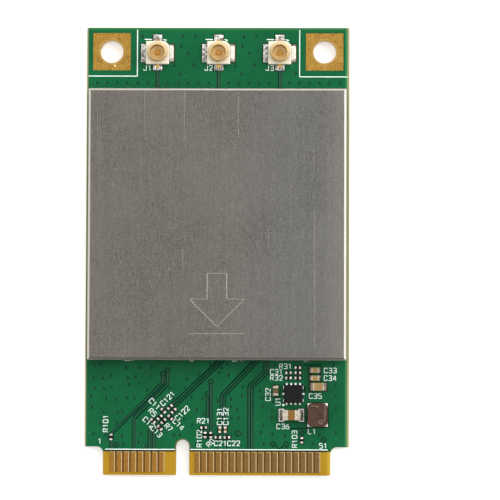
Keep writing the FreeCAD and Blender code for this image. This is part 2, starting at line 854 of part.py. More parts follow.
def chip_group(label, kind, wrap, spots):
    """Many small chips of one kind, as a node of bodies and a node of end caps."""
    bodies = []
    ends = []
    for x, y, turn in spots:
        ceramic, caps = chip_part(kind, wrap)
        bodies.append(place(group("chip", [ceramic]), x, y, surface, turn))
        ends.append(place(caps, x, y, surface, turn))
    finish(group(label, bodies), f"{label}_bodies")
    finish(group(f"{label}_ends", ends), f"{label}_caps")


def power_capacitors():
    single_chip("output_capacitor", "output", f"{right} - output_from_right", f"{tab_end} + output_from_end")
    single_chip("input_capacitor", "input", f"{right} - input_from_right", f"{tab_end} + input_from_end")
    single_chip("bypass_capacitor", "bypass", f"{right} - bypass_from_right",
                f"{tab_end} + bypass_from_end", 90)
    for index in range(2):
        single_chip(f"filter_capacitor_{index + 1}", "bypass", f"{right} - filter_from_right",
                    f"{tab_end} + filter_from_end + {index} * filter_pitch")


def ladder_spot(step, across, turn):
    """A place in the slanted ladder of parts, counted in steps along it and a distance across it."""
    x = f"ladder_x + ({step} * ladder_step + {across}) * sin(45 deg)"
    y = f"{tab_end} + ladder_from_end + ({step} * ladder_step - ({across})) * sin(45 deg)"
    return (x, y, turn)


def small_parts():
    """The smallest resistors and capacitors: a slanted ladder, a grid and a few rows by the key."""
    grid_x = f"{right} - grid_from_right"
    grid_y = f"{tab_end} + grid_from_end"
    pair_y = f"{tab_end} + pull_pair_from_end"
    resistors = [
        (grid_x, grid_y, 0),
        (grid_x, f"{grid_y} - grid_row", 0),
        (grid_x, f"{grid_y} - 2 * grid_row", 0),
        (f"{grid_x} - grid_column", f"{grid_y} - 2 * grid_row", 0),
        ("pull_x", f"{tab_end} + pull_from_end", 0),
        ("pull_pair_x - pull_pair_gap / 2", pair_y, 90),
        ("pull_pair_x + pull_pair_gap / 2", pair_y, 90),
        ("-tab_width / 2 + left_single_from_tab", f"{tab_end} + left_single_from_end", 90),
        ("tab_width / 2 - right_single_from_tab", f"{tab_end} + right_single_from_end", 90),
        ladder_spot(0, "-ladder_gap / 2", 45),
        ladder_spot(0, "ladder_gap / 2", 45),
    ]
    couple_y = f"{tab_end} + couple_from_end"
    shunt_y = f"{tab_end} + shunt_from_end"
    capacitors = [
        (f"{grid_x} - grid_column", f"{grid_y} - grid_row", 0),
        ("couple_x - couple_gap / 2", couple_y, 90),
        ("couple_x + couple_gap / 2", couple_y, 90),
        ("shunt_x - shunt_gap / 2", shunt_y, 0),
        ("shunt_x + shunt_gap / 2", shunt_y, 0),
        ladder_spot(2, "-ladder_gap / 2", 45),
        ladder_spot(2, "ladder_gap / 2", 45),
    ]
    for step in (-1, 1):
        for side in ("-", ""):
            capacitors.append(ladder_spot(step, f"{side}ladder_pair / 2", -45))
    chip_group("signal_resistor", "small", "small_wrap", resistors)
    chip_group("signal_capacitor", "small", "small_wrap", capacitors)


def radio_parts():
    """What the shield covers: the main chip with its thermal pad and the parts round it."""
    radio_y = f"{shield_bottom} + radio_from_bottom"
    chip = moulded("radio_block", "radio_side", "radio_side", "radio_height", "moulding_edge")
    mark = new_sketch(chip, "radio_height")
    inset = "radio_side / 2 - pin_mark_inset"
    draw_circle(mark, f"-({inset})", inset, "pin_mark_diameter")
    pocket(chip, mark, "pin_mark_depth")
    finish(place(chip, "0", radio_y, surface), "radio_chip")
    thermal = block("thermal", "thermal_side", "thermal_side", f"{cover_inside} - {surface} - radio_height",
                    y=radio_y, z=f"{surface} + radio_height")
    finish(thermal, "thermal_pad")
    for index in range(RECEPTACLE_COUNT):
        x = f"coax_shift + {index - (RECEPTACLE_COUNT - 1) / 2} * coax_pitch"
        module = moulded("module", "front_end_side", "front_end_side", "front_end_height", "moulding_edge")
        place(module, x, f"{shield_top} - front_end_from_top", surface)
        finish(module, f"front_end_module_{index + 1}")
        band = moulded("band", "band_length", "band_width", "band_height", "moulding_edge")
        finish(place(band, x, f"{shield_top} - band_from_top", surface), f"band_filter_{index + 1}")
    crystal = new_body("crystal")
    can = new_sketch(crystal)
    draw(can, rounded("-crystal_length / 2", "crystal_length / 2", "-crystal_width / 2", "crystal_width / 2",
                      "crystal_corner"))
    soften(crystal, pad(crystal, can, "crystal_height"), "crystal_height", "Chamfer", "moulding_edge")
    finish(place(crystal, "crystal_x", radio_y, surface), "reference_crystal")
    memory = moulded("memory", "memory_length", "memory_width", "memory_height", "moulding_edge")
    finish(place(memory, "memory_x", radio_y, surface), "settings_memory")
    reach = "radio_side / 2 + decoupling_gap"
    spots = []
    for side in ("-", ""):
        for index in range(DECOUPLING_COUNT):
            along = f"{index - (DECOUPLING_COUNT - 1) / 2} * decoupling_pitch"
            spots.append((f"{side}({reach})", f"{radio_y} + {along}", 90))
    chip_group("shielded_capacitor", "bypass", "cap_wrap", spots)


def build():
    board()
    contact_first = "-tab_width / 2 + contact_first"
    contact_row("edge_contacts_top", contact_first, "board_thickness - mask_depth")
    contact_row("edge_contacts_bottom", f"{contact_first} + contact_stagger", "mask_depth - plating")
    mounting_land("mounting_land_left", "-")
    mounting_land("mounting_land_right", "")
    shield_frame()
    shield_cover()
    receptacles()
    regulator()
    inductor()
    power_capacitors()
    small_parts()
    radio_parts()
    doc.recompute()


def check():
    """Stop if anything failed to build."""
    for thing in doc.Objects:
        if "Invalid" in thing.State or "Error" in thing.State:
            raise RuntimeError(f"{thing.Name} did not build: {thing.State}")
    for piece in pieces:
        if piece.Shape.isNull() or not piece.Shape.isValid() or not piece.Shape.Solids:
            raise RuntimeError(f"{piece.Label} is not a sound solid")


def export():
    os.makedirs("parts", exist_ok=True)
    for piece in pieces:
        piece.Shape.exportStep(f"parts/{piece.Label}.step")
        print(piece.Label, len(piece.Shape.Solids), round(piece.Shape.Volume, 3))


build()
check()
export()
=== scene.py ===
"""Looks of a mini card radio module: board print, copper lines, solder, plating and shield finish."""

import math
import random

import bpy
from mathutils import Matrix, Vector


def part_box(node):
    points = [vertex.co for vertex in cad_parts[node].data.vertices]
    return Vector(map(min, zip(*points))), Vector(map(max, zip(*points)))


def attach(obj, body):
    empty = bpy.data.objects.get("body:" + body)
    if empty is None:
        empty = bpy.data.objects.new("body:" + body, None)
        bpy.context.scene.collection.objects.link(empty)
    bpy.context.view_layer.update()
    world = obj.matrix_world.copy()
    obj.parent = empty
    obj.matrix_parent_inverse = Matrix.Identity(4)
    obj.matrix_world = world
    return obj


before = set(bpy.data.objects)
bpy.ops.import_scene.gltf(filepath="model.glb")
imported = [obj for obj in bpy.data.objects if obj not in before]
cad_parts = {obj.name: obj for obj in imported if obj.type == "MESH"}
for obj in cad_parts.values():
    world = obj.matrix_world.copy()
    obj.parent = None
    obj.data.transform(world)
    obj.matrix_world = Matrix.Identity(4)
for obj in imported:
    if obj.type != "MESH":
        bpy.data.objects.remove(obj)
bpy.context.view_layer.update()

MM = 0.001
SEED = 11


# What the frame gives, in millimetres


def corners(node):
    """Lowest and highest corner of a CAD node, in millimetres."""
    low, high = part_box(node)
    return low / MM, high / MM


def separate_solids(node):
    """The points of each separate solid in a CAD node, in millimetres."""
    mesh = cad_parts[node].data
    spots = [tuple(round(part / MM, 3) for part in vertex.co) for vertex in mesh.vertices]
    owner = {spot: spot for spot in spots}

    def root(spot):
        """The spot that stands for the whole solid that a spot is on."""
        while owner[spot] != spot:
            spot = owner[spot]
        return spot

    for face in mesh.polygons:
        first, *others = [spots[index] for index in face.vertices]
        for other in others:
            owner[root(other)] = root(first)
    solids = {}
    for spot in owner:
        solids.setdefault(root(spot), []).append(Vector(spot))
    return list(solids.values())


def reach(points, way):
    """Least and greatest extent of points along a direction."""
    along = [point.dot(way) for point in points]
    return min(along), max(along)


def contact_runs():
    """Left and right ends of the two runs of contacts, on either side of the key."""
    sides = sorted(reach(points, Vector((1, 0, 0))) for points in separate_solids("edge_contacts_top"))
    runs = [list(sides[0])]
    for left, right in sides[1:]:
        if left - runs[-1][1] > CONTACT_PITCH:
            runs.append([left, right])
        runs[-1][1] = right
    return runs


BOARD_LOW, BOARD_HIGH = corners("circuit_board")
CONTACT_LOW, CONTACT_HIGH = corners("edge_contacts_top")
LOWER_CONTACT_LOW = corners("edge_contacts_bottom")[0]
LAND_LOW, LAND_HIGH = corners("mounting_land_right")
COVER_LOW, COVER_HIGH = corners("shield_cover")
CHIP_LOW, CHIP_HIGH = corners("regulator_chip")
CORE_LOW, CORE_HIGH = corners("power_inductor_core")
OUTPUT_LOW, OUTPUT_HIGH = corners("output_capacitor_caps")

# Places and sizes on the card, in millimetres

BOARD_TOP = BOARD_HIGH.z
BOARD_UNDER = BOARD_LOW.z
BARE_GAP = 0.05
TAB_LINE = CONTACT_HIGH.y + BARE_GAP
TAB_RIGHT = 12.85
CONTACT_PITCH = 0.80
CONTACT_WIDTH = 0.60
CONTACT_RUNS = contact_runs()
COAX_CENTRES = [sum(corners(f"coax_insulator_{number}"), Vector()) / 2 for number in (1, 2, 3)]
COAX_PITCH = COAX_CENTRES[1].x - COAX_CENTRES[0].x
WELL_RADIUS = 0.85
HOLE_CENTRE = (LAND_LOW + LAND_HIGH) / 2
HOLE_RADIUS = 1.30
KEY_DEPTH = 4.00
KEY_TOP = BOARD_LOW.y + KEY_DEPTH
KEY_MIDDLE = -3.85
KEY_RADIUS = 0.75


# Node helpers


def shade(colour):
    """A colour in display values from 0 to 255, as scene-linear RGBA. Sockets and RGBA pass as they are."""
    if isinstance(colour, bpy.types.NodeSocket) or len(colour) == 4:
        return colour
    channels = []
    for value in colour:
        share = value / 255
        if share <= 0.04045:
            channels.append(share / 12.92)
        else:
            channels.append(((share + 0.055) / 1.055) ** 2.4)
    return (*channels, 1.0)


def put(tree, kind, inputs=None, **settings):
    """Adds a node, sets its properties and fills its inputs with sockets or plain values."""
    node = tree.nodes.new(kind)
    for name, value in settings.items():
        setattr(node, name, value)
    for key, value in (inputs or {}).items():
        if isinstance(value, bpy.types.NodeSocket):
            tree.links.new(value, node.inputs[key])
        else:
            node.inputs[key].default_value = value
    return node


def calc(tree, operation, first, second=0.0):
    """One step of arithmetic."""
    return put(tree, "ShaderNodeMath", {0: first, 1: second}, operation=operation).outputs[0]


def fade(tree, value, start, end):
    """Rises smoothly from 0 at start to 1 at end."""
    inputs = {"Value": value, "From Min": start, "From Max": end}
    return put(tree, "ShaderNodeMapRange", inputs, interpolation_type="SMOOTHSTEP").outputs[0]


def between(tree, value, low, high):
    """A plain range of the value from 0 to 1, as low to high."""
    inputs = {"Value": value, "To Min": low, "To Max": high}
    return put(tree, "ShaderNodeMapRange", inputs).outputs[0]


def tint(tree, share, first, second, strength=1.0):
    """A colour between two others, at a share that a strength can hold back."""
    if strength < 1.0:
        share = calc(tree, "MULTIPLY", share, strength)
    inputs = {0: share, 6: shade(first), 7: shade(second)}
    return put(tree, "ShaderNodeMix", inputs, data_type="RGBA").outputs[2]


def distance(tree, across, along):
    """Length of a way that has two parts."""
    squares = [calc(tree, "POWER", part, 2.0) for part in (across, along)]
    return calc(tree, "SQRT", calc(tree, "ADD", *squares))


def position(tree):
    """Where a point lies on the card, as a vector in millimetres."""
    coordinates = put(tree, "ShaderNodeTexCoord").outputs["Object"]
    return put(tree, "ShaderNodeVectorMath", {0: coordinates, "Scale": 1 / MM}, operation="SCALE").outputs[0]


def place(tree):
    """The three coordinates of a point on the card, in millimetres."""
    return put(tree, "ShaderNodeSeparateXYZ", {0: position(tree)}).outputs


def facing(tree):
    """The three parts of the surface's direction."""
    geometry = put(tree, "ShaderNodeNewGeometry")
    return put(tree, "ShaderNodeSeparateXYZ", {0: geometry.outputs["Normal"]}).outputs


def band(tree, value, low, high):
    """One between two places in millimetres, and nothing outside them."""
    soft = 0.02
    after = fade(tree, value, low - soft, low)
    before = fade(tree, value, high + soft, high)
    return calc(tree, "MULTIPLY", after, before)


# Surface effects that several finishes share, with their sizes in millimetres


def effect(name, inputs, output):
    """An empty shader group with named number inputs and one number output."""
    tree = bpy.data.node_groups.new(name, "ShaderNodeTree")
    for label, value in inputs.items():
        socket = tree.interface.new_socket(label, in_out="INPUT", socket_type="NodeSocketFloat")
        socket.default_value = value
    tree.interface.new_socket(output, in_out="OUTPUT", socket_type="NodeSocketFloat")
    start = tree.nodes.new("NodeGroupInput")
    end = tree.nodes.new("NodeGroupOutput")
    return tree, start.outputs, end.inputs


def use(tree, group, **values):
    """Places a shader group in a material, with its own values."""
    return put(tree, "ShaderNodeGroup", values, node_tree=group).outputs[0]


def mottle_effect():
    """Soft uneven patches of a given size."""
    tree, start, end = effect("mottle", {"Patch": 1.0, "Detail": 3.0}, "Share")
    scale = calc(tree, "DIVIDE", 1.0, start["Patch"])
    inputs = {"Vector": position(tree), "Scale": scale, "Detail": start["Detail"]}
    noise = put(tree, "ShaderNodeTexNoise", inputs)
    tree.links.new(fade(tree, noise.outputs[0], 0.28, 0.72), end[0])
    return tree


def grain_effect():
    """Fine lines drawn out along a direction, as rolling and brushing leave them."""
    tree, start, end = effect("drawn_grain", {"Across": 0.1, "Along": 2.0, "Turn": 0.0}, "Grain")
    inputs = {"Vector": position(tree), "Angle": start["Turn"]}
    turned = put(tree, "ShaderNodeVectorRotate", inputs, rotation_type="Z_AXIS")
    across = calc(tree, "DIVIDE", 1.0, start["Across"])
    along = calc(tree, "DIVIDE", 1.0, start["Along"])
    stretch = put(tree, "ShaderNodeCombineXYZ", {0: across, 1: along, 2: along})
    inputs = {0: turned.outputs[0], 1: stretch.outputs[0]}
    stretched = put(tree, "ShaderNodeVectorMath", inputs, operation="MULTIPLY")
    noise = put(tree, "ShaderNodeTexNoise", {"Vector": stretched.outputs[0], "Scale": 1.0, "Detail": 3.0})
    tree.links.new(noise.outputs[0], end[0])
    return tree


def scratch_effect(grain):
    """Sparse hair lines, cut out of the peaks of a drawn grain."""
    inputs = {"Across": 0.1, "Along": 4.0, "Turn": 0.0, "Onset": 0.66}
    tree, start, end = effect("hair_scratches", inputs, "Scratch")
    lines = use(tree, grain, Across=start["Across"], Along=start["Along"], Turn=start["Turn"])
    full = calc(tree, "ADD", start["Onset"], 0.06)
    tree.links.new(fade(tree, lines, start["Onset"], full), end[0])
    return tree


def speck_effect():
    """Scattered small specks, such as dust and pits."""
    tree, start, end = effect("specks", {"Spacing": 1.0, "Reach": 0.12}, "Speck")
    scale = calc(tree, "DIVIDE", 1.0, start["Spacing"])
    cells = put(tree, "ShaderNodeTexVoronoi", {"Vector": position(tree), "Scale": scale})
    half = calc(tree, "MULTIPLY", start["Reach"], 0.5)
    tree.links.new(fade(tree, cells.outputs["Distance"], start["Reach"], half), end[0])
    return tree


def weave_effect():
    """Crossing yarns of the glass cloth in bare laminate."""
    tree, start, end = effect("glass_weave", {"Yarn": 0.4}, "Weave")
    east, north, _ = place(tree)
    turns = calc(tree, "DIVIDE", math.tau, start["Yarn"])
    waves = [calc(tree, "SINE", calc(tree, "MULTIPLY", line, turns)) for line in (east, north)]
    crossed = calc(tree, "MULTIPLY", *waves)
    tree.links.new(between(tree, calc(tree, "ADD", crossed, 0.5), 0.25, 0.75), end[0])
    return tree


MOTTLE = mottle_effect()
GRAIN = grain_effect()
SCRATCH = scratch_effect(GRAIN)
SPECK = speck_effect()
WEAVE = weave_effect()


# Finishes

ROUGH_SPREAD = 0.15
CONTACT_HIGHLIGHT_WIDTH = 0.09
WIRE_PITCH = 0.12
CONTACTS_DULL_FROM = -8.0
CONTACTS_DULL_TO = 6.0
COVER_COOL_FROM = -7.0
COVER_COOL_TO = 9.0
TAN_PAIR_ACROSS = (-0.20, 1.50)
TAN_PAIR_ALONG = (-20.75, -19.75)


def new_finish(name, **constants):
    """A material with the constants of its shader set, and its tree to wire up."""
    material = bpy.data.materials.new(name)
    material.use_nodes = True
    tree = material.node_tree
    for label, value in constants.items():
        tree.nodes["Principled BSDF"].inputs[label.replace("_", " ")].default_value = value
    return material, tree


def coat(material, colour, rough, height, depth, strength):
    """Wires up a finish: its colour, its roughness and a fine relief of a depth in millimetres."""
    tree = material.node_tree
    bump = put(tree, "ShaderNodeBump", {"Height": height, "Distance": depth * MM, "Strength": strength})
    sources = {"Base Color": colour, "Roughness": rough, "Normal": bump.outputs[0]}
    for label, source in sources.items():
        tree.links.new(source, tree.nodes["Principled BSDF"].inputs[label])
    return material


def touch_up(material, share, over, strength=1.0):
    """Lays another colour over a finish, by a share that varies over the surface."""
    tree = material.node_tree
    paint = tree.nodes["Principled BSDF"].inputs["Base Color"]
    under = paint.links[0].from_socket
    tree.links.new(tint(tree, share, under, over, strength), paint)


def green_mask(tree, patches, cloth):
    """Colour of the solder mask, which is thin along the board's edges and round the key, where a brown rim
    also serves as painted shade of the slot's wall.
    """
    east, north, _ = place(tree)
    mask = tint(tree, patches, (5, 81, 44), (9, 91, 52))
    mask = tint(tree, cloth, mask, (15, 97, 58), 0.35)
    dust = use(tree, SPECK, Spacing=1.1, Reach=0.05)
    mask = tint(tree, dust, mask, (130, 175, 145), 0.6)
    rims = (
        (north, BOARD_HIGH.y - 0.35, BOARD_HIGH.y - 0.10, (70, 124, 72), 0.6),
        (east, BOARD_HIGH.x - 0.50, BOARD_HIGH.x - 0.40, (58, 126, 78), 0.8),
        (east, BOARD_HIGH.x - 0.30, BOARD_HIGH.x - 0.14, (158, 150, 106), 1.0),
        (east, BOARD_LOW.x + 0.20, BOARD_LOW.x + 0.08, (150, 142, 104), 1.0),
    )
    for line, start, end, colour, strength in rims:
        mask = tint(tree, fade(tree, line, start, end), mask, colour, strength)
    # The brown rim round the key: partly thin mask, partly painted shade of the slot's wall.
    across = calc(tree, "SUBTRACT", east, KEY_MIDDLE)
    past = calc(tree, "MAXIMUM", calc(tree, "SUBTRACT", north, KEY_TOP - KEY_RADIUS), 0.0)
    key_rim_and_shade = fade(tree, distance(tree, across, past), KEY_RADIUS + 0.16, KEY_RADIUS + 0.06)
    return tint(tree, key_rim_and_shade, mask, (104, 92, 56))


def bare_laminate(tree, patches):
    """Colour of the bare tab, pale at its right end and dark with painted shade between the contacts."""
    east, north, _ = place(tree)
    bare = tint(tree, use(tree, WEAVE, Yarn=0.45), (162, 124, 24), (170, 133, 32))
    bare = tint(tree, patches, bare, (152, 114, 22), 0.5)
    pale = fade(tree, east, TAB_RIGHT - 0.65, TAB_RIGHT + 0.05)
    bare = tint(tree, pale, bare, (198, 170, 66), 0.7)
    # Painted shade on the bare laminate between the contacts.
    beside_contacts = fade(tree, north, CONTACT_LOW.y - 0.02, CONTACT_LOW.y + 0.02)
    runs = [band(tree, east, low, high) for low, high in CONTACT_RUNS]
    shaded = calc(tree, "MULTIPLY", beside_contacts, calc(tree, "ADD", *runs))
    return tint(tree, shaded, bare, (96, 64, 24))


def cut_cloth(tree):
    """Colour of the board's cut edges, with their layers of glass cloth."""
    layers = use(tree, GRAIN, Across=3.0, Along=0.07)
    fibres = use(tree, MOTTLE, Patch=0.12, Detail=4.0)
    cut = tint(tree, layers, (128, 116, 62), (168, 160, 112))
    return tint(tree, fibres, cut, (102, 100, 58), 0.5)


def masked_board():
    """Green solder mask over copper, bare laminate on the tab and cut glass cloth at the edges."""
    material, tree = new_finish("board_mask", IOR=1.45, Specular_IOR_Level=0.15)
    patches = use(tree, MOTTLE, Patch=4.0, Detail=2.0)
    cloth = use(tree, MOTTLE, Patch=0.22, Detail=3.0)
    tab = fade(tree, place(tree)[1], TAB_LINE + 0.01, TAB_LINE - 0.01)
    faces = tint(tree, tab, green_mask(tree, patches, cloth), bare_laminate(tree, patches))
    edge = fade(tree, calc(tree, "ABSOLUTE", facing(tree)[2]), 0.8, 0.5)
    colour = tint(tree, edge, faces, cut_cloth(tree))
    unmasked = calc(tree, "MULTIPLY", calc(tree, "MAXIMUM", edge, tab), 0.3)
    rough = calc(tree, "ADD", between(tree, cloth, 0.30, 0.42), unmasked)
    return coat(material, colour, rough, cloth, depth=0.004, strength=0.5)


def mask_over(name, dark, light, rough):
    """Solder mask over a copper line or a via, or over a gap with no copper under it."""
    material, tree = new_finish(name, IOR=1.45, Specular_IOR_Level=0.15)
    cloth = use(tree, MOTTLE, Patch=0.2, Detail=3.0)
    colour = tint(tree, cloth, dark, light)
    return coat(material, colour, between(tree, cloth, rough, rough + 0.1), cloth, depth=0.003, strength=0.4)


def contact_gold(name, first):
    """Hard gold on a row of edge contacts, drawn by insertions, with a pale painted highlight along one edge
    of each contact.
    """
    material, tree = new_finish(name, Metallic=0.4)
    east, north, _ = place(tree)
    wear = use(tree, GRAIN, Across=0.06, Along=0.5)
    blotch = use(tree, MOTTLE, Patch=0.20, Detail=3.0)
    rich = tint(tree, wear, (112, 70, 12), (200, 146, 52))
    dull = tint(tree, wear, (68, 47, 13), (160, 127, 68))
    colour = tint(tree, fade(tree, east, CONTACTS_DULL_FROM, CONTACTS_DULL_TO), rich, dull)
    colour = tint(tree, blotch, colour, (94, 60, 18), 0.45)
    # A pale strip along one edge of each contact: painted highlight.
    beat = calc(tree, "DIVIDE", calc(tree, "SUBTRACT", east, first), CONTACT_PITCH)
    share = (CONTACT_WIDTH - CONTACT_HIGHLIGHT_WIDTH) / CONTACT_PITCH
    edge_highlight = fade(tree, calc(tree, "FRACT", beat), share - 0.02, share + 0.03)
    colour = tint(tree, edge_highlight, colour, (206, 180, 126))
    heel = fade(tree, north, CONTACT_HIGH.y - 0.12, CONTACT_HIGH.y - 0.04)
    colour = tint(tree, heel, colour, (214, 180, 112), 0.6)
    return coat(material, colour, between(tree, wear, 0.28, 0.5), wear, depth=0.004, strength=0.5)


def land_gold():
    """Gold on the screw lands, scuffed flat and paler in a ring where a screw head turned."""
    material, tree = new_finish("land_gold", Metallic=0.4)
    east, north, _ = place(tree)
    across = calc(tree, "SUBTRACT", calc(tree, "ABSOLUTE", east), HOLE_CENTRE.x)
    along = calc(tree, "SUBTRACT", north, HOLE_CENTRE.y)
    ring = fade(tree, distance(tree, across, along), HOLE_RADIUS + 0.34, HOLE_RADIUS + 0.10)
    scuff = use(tree, SCRATCH, Across=0.06, Along=1.2, Turn=0.9, Onset=0.58)
    stain = use(tree, MOTTLE, Patch=0.8, Detail=4.0)
    pits = use(tree, SPECK, Spacing=0.5, Reach=0.16)
    grit = use(tree, MOTTLE, Patch=0.13, Detail=3.0)
    colour = tint(tree, stain, (129, 92, 22), (152, 113, 37))
    colour = tint(tree, grit, colour, (198, 153, 60), 0.7)
    colour = tint(tree, scuff, colour, (192, 157, 76), 0.8)
    colour = tint(tree, pits, colour, (98, 68, 26), 0.6)
    colour = tint(tree, ring, colour, (196, 160, 92), 0.4)
    height = calc(tree, "ADD", stain, scuff)
    return coat(material, colour, between(tree, stain, 0.32, 0.5), height, depth=0.006, strength=0.5)


def cover_marks(tree):
    """Where long scratches, short slips of a tool and specks lie on the cover, and how strongly."""
    scratch = use(tree, SCRATCH, Across=0.09, Along=24.0, Onset=0.69)
    slip = use(tree, SCRATCH, Across=0.05, Along=1.5, Turn=0.35, Onset=0.72)
    speck = use(tree, SPECK, Spacing=1.4, Reach=0.07)
    marks = 0.0
    for mark, strength in ((scratch, 0.45), (slip, 0.25), (speck, 0.3)):
        marks = calc(tree, "MAXIMUM", marks, calc(tree, "MULTIPLY", mark, strength))
    return marks


def cover_steel():
    """Tin-plated shield sheet with an upright grain, warm at the left and cool at the right, paler on its
    bends as burnished metal and as painted highlight.
    """
    material, tree = new_finish("cover_steel", Metallic=1.0)
    east = place(tree)[0]
    grain = use(tree, GRAIN, Across=0.11, Along=1.1)
    fine = use(tree, GRAIN, Across=0.13, Along=0.20)
    streak = use(tree, GRAIN, Across=0.45, Along=14.0)
    haze = use(tree, MOTTLE, Patch=7.0, Detail=2.0)
    lines = calc(tree, "ADD", calc(tree, "MULTIPLY", grain, 0.35), calc(tree, "MULTIPLY", fine, 0.65))
    cool = fade(tree, east, COVER_COOL_FROM, COVER_COOL_TO)
    dark = tint(tree, cool, (118, 112, 104), (115, 113, 107))
    light = tint(tree, cool, (136, 130, 123), (134, 132, 127))
    bright = tint(tree, cool, (157, 151, 143), (155, 153, 147))
    colour = tint(tree, haze, dark, light)
    colour = tint(tree, fade(tree, lines, 0.32, 0.68), colour, bright)
    colour = tint(tree, fade(tree, streak, 0.40, 0.66), colour, (106, 102, 97), 0.12)
    # Lighter towards the cover's right end.
    lighter_right_end = fade(tree, east, COVER_HIGH.x - 3.4, COVER_HIGH.x - 0.4)
    colour = tint(tree, lighter_right_end, colour, (190, 184, 176), 0.25)
    marks = cover_marks(tree)
    colour = tint(tree, marks, colour, (235, 230, 222))
    # Paler on the bends: partly burnished metal, partly painted highlight.
    burnish_and_highlight = fade(tree, facing(tree)[2], 0.985, 0.93)
    colour = tint(tree, burnish_and_highlight, colour, (172, 166, 158))
    height = calc(tree, "SUBTRACT", lines, marks)
    return coat(material, colour, between(tree, lines, 0.28, 0.42), height, depth=0.004, strength=0.6)


def sheet_metal(name, dark, light, rough, metal=1.0):
    """Plated sheet or can with a faint drawn grain."""
    material, tree = new_finish(name, Metallic=metal)
    grain = use(tree, GRAIN, Across=0.05, Along=0.8, Turn=0.3)
    stain = use(tree, MOTTLE, Patch=0.7, Detail=3.0)
    colour = tint(tree, grain, dark, light)
    colour = tint(tree, stain, colour, dark, 0.25)
    rough = between(tree, stain, rough, rough + ROUGH_SPREAD)
    return coat(material, colour, rough, grain, depth=0.003, strength=0.5)


def solder_metal(name, dark, light, rough, metal, stain):
    """Bright tin with a dull frosted skin here and there and flux stains in the hollows."""
    material, tree = new_finish(name, Metallic=metal)
    frost = use(tree, MOTTLE, Patch=0.26, Detail=2.0)
    flux = use(tree, MOTTLE, Patch=0.35, Detail=2.0)
    colour = tint(tree, frost, dark, light)
    colour = tint(tree, fade(tree, flux, 0.60, 0.95), colour, (84, 68, 52), stain)
    rough = between(tree, frost, rough, rough + ROUGH_SPREAD)
    return coat(material, colour, rough, frost, depth=0.03, strength=0.6)


def fired_body(name, dark, light, rough, speck_colour):
    """Fired or moulded body with a fine grit and a few darker or lighter specks."""
    material, tree = new_finish(name, Specular_IOR_Level=0.2)
    grit = use(tree, MOTTLE, Patch=0.06, Detail=4.0)
    cloud = use(tree, MOTTLE, Patch=0.5, Detail=2.0)
    speck = use(tree, SPECK, Spacing=0.22, Reach=0.14)
    colour = tint(tree, cloud, dark, light)
    colour = tint(tree, grit, colour, dark, 0.3)
    colour = tint(tree, speck, colour, speck_colour, 0.5)
    rough = between(tree, grit, rough, rough + ROUGH_SPREAD)
    return coat(material, colour, rough, grit, depth=0.006, strength=0.6)


def from_receptacle(tree):
    """Distance of a point from the axis of the nearest receptacle, in millimetres."""
    east, north, _ = place(tree)
    first = COAX_CENTRES[0]
    beat = calc(tree, "DIVIDE", calc(tree, "SUBTRACT", east, first.x), COAX_PITCH)
    off_beat = calc(tree, "SUBTRACT", beat, calc(tree, "ROUND", beat))
    along = calc(tree, "SUBTRACT", north, first.y)
    return distance(tree, calc(tree, "MULTIPLY", off_beat, COAX_PITCH), along)


def receptacle_moulding(dark, light, speck_colour):
    """Moulding of the receptacles, paler away from the rings, with a painted gold reflection inside the wells
    that darkens towards the pin as painted shade.
    """
    material = fired_body("connector_moulding", dark, light, 0.45, speck_colour)
    tree = material.node_tree
    away = from_receptacle(tree)
    touch_up(material, fade(tree, away, 1.15, 1.40), (230, 224, 206), 0.8)
    # Inside the wells: painted reflection of the gold rings, darker near the pin as painted shade.
    warm = tint(tree, fade(tree, away, 0.28, 0.50), (214, 168, 98), (228, 198, 140))
    touch_up(material, fade(tree, away, WELL_RADIUS + 0.02, WELL_RADIUS - 0.02), warm)
    return material


def pin_gold(dark, light):
    """Gold on the centre pins, with a dark spot of painted shade at the tip."""
    material = sheet_metal("pin_gold", dark, light, 0.14, 0.6)
    tree = material.node_tree
    # A dark spot at the tip of each pin: painted shade.
    touch_up(material, fade(tree, from_receptacle(tree), 0.11, 0.06), (52, 30, 8))
    return material


def small_ceramic(dark, light, speck_colour):
    """Fired bodies of the smallest capacitors, dark, but tan on the pair above the tab."""
    material = fired_body("small_ceramic", dark, light, 0.4, speck_colour)
    tree = material.node_tree
    east, north, _ = place(tree)
    pair = calc(tree, "MULTIPLY", band(tree, east, *TAN_PAIR_ACROSS), band(tree, north, *TAN_PAIR_ALONG))
    touch_up(material, pair, (136, 104, 60))
    return material


def enamelled_wire():
    """Copper wire under clear enamel, laid turn beside turn round the post, with painted shade between the
    turns.
    """
    material, tree = new_finish("enamelled_wire", Metallic=0.7)
    turn = calc(tree, "SINE", calc(tree, "MULTIPLY", place(tree)[2], math.tau / WIRE_PITCH))
    cloud = use(tree, MOTTLE, Patch=0.3, Detail=2.0)
    # Darker between the turns: painted shade, on the same waves as the relief.
    colour = tint(tree, between(tree, turn, 0.2, 0.9), (96, 48, 24), (190, 112, 62))
    return coat(material, colour, between(tree, cloud, 0.25, 0.4), turn, depth=0.02, strength=0.6)


def print_ink():
    """White print, a little thin and porous."""
    material, tree = new_finish("print_ink", Specular_IOR_Level=0.2)
    pores = use(tree, MOTTLE, Patch=0.05, Detail=4.0)
    thin = use(tree, MOTTLE, Patch=0.6, Detail=2.0)
    colour = tint(tree, calc(tree, "MULTIPLY", pores, thin), (244, 252, 248), (206, 230, 220))
    return coat(material, colour, between(tree, pores, 0.5, 0.7), pores, depth=0.004, strength=0.5)


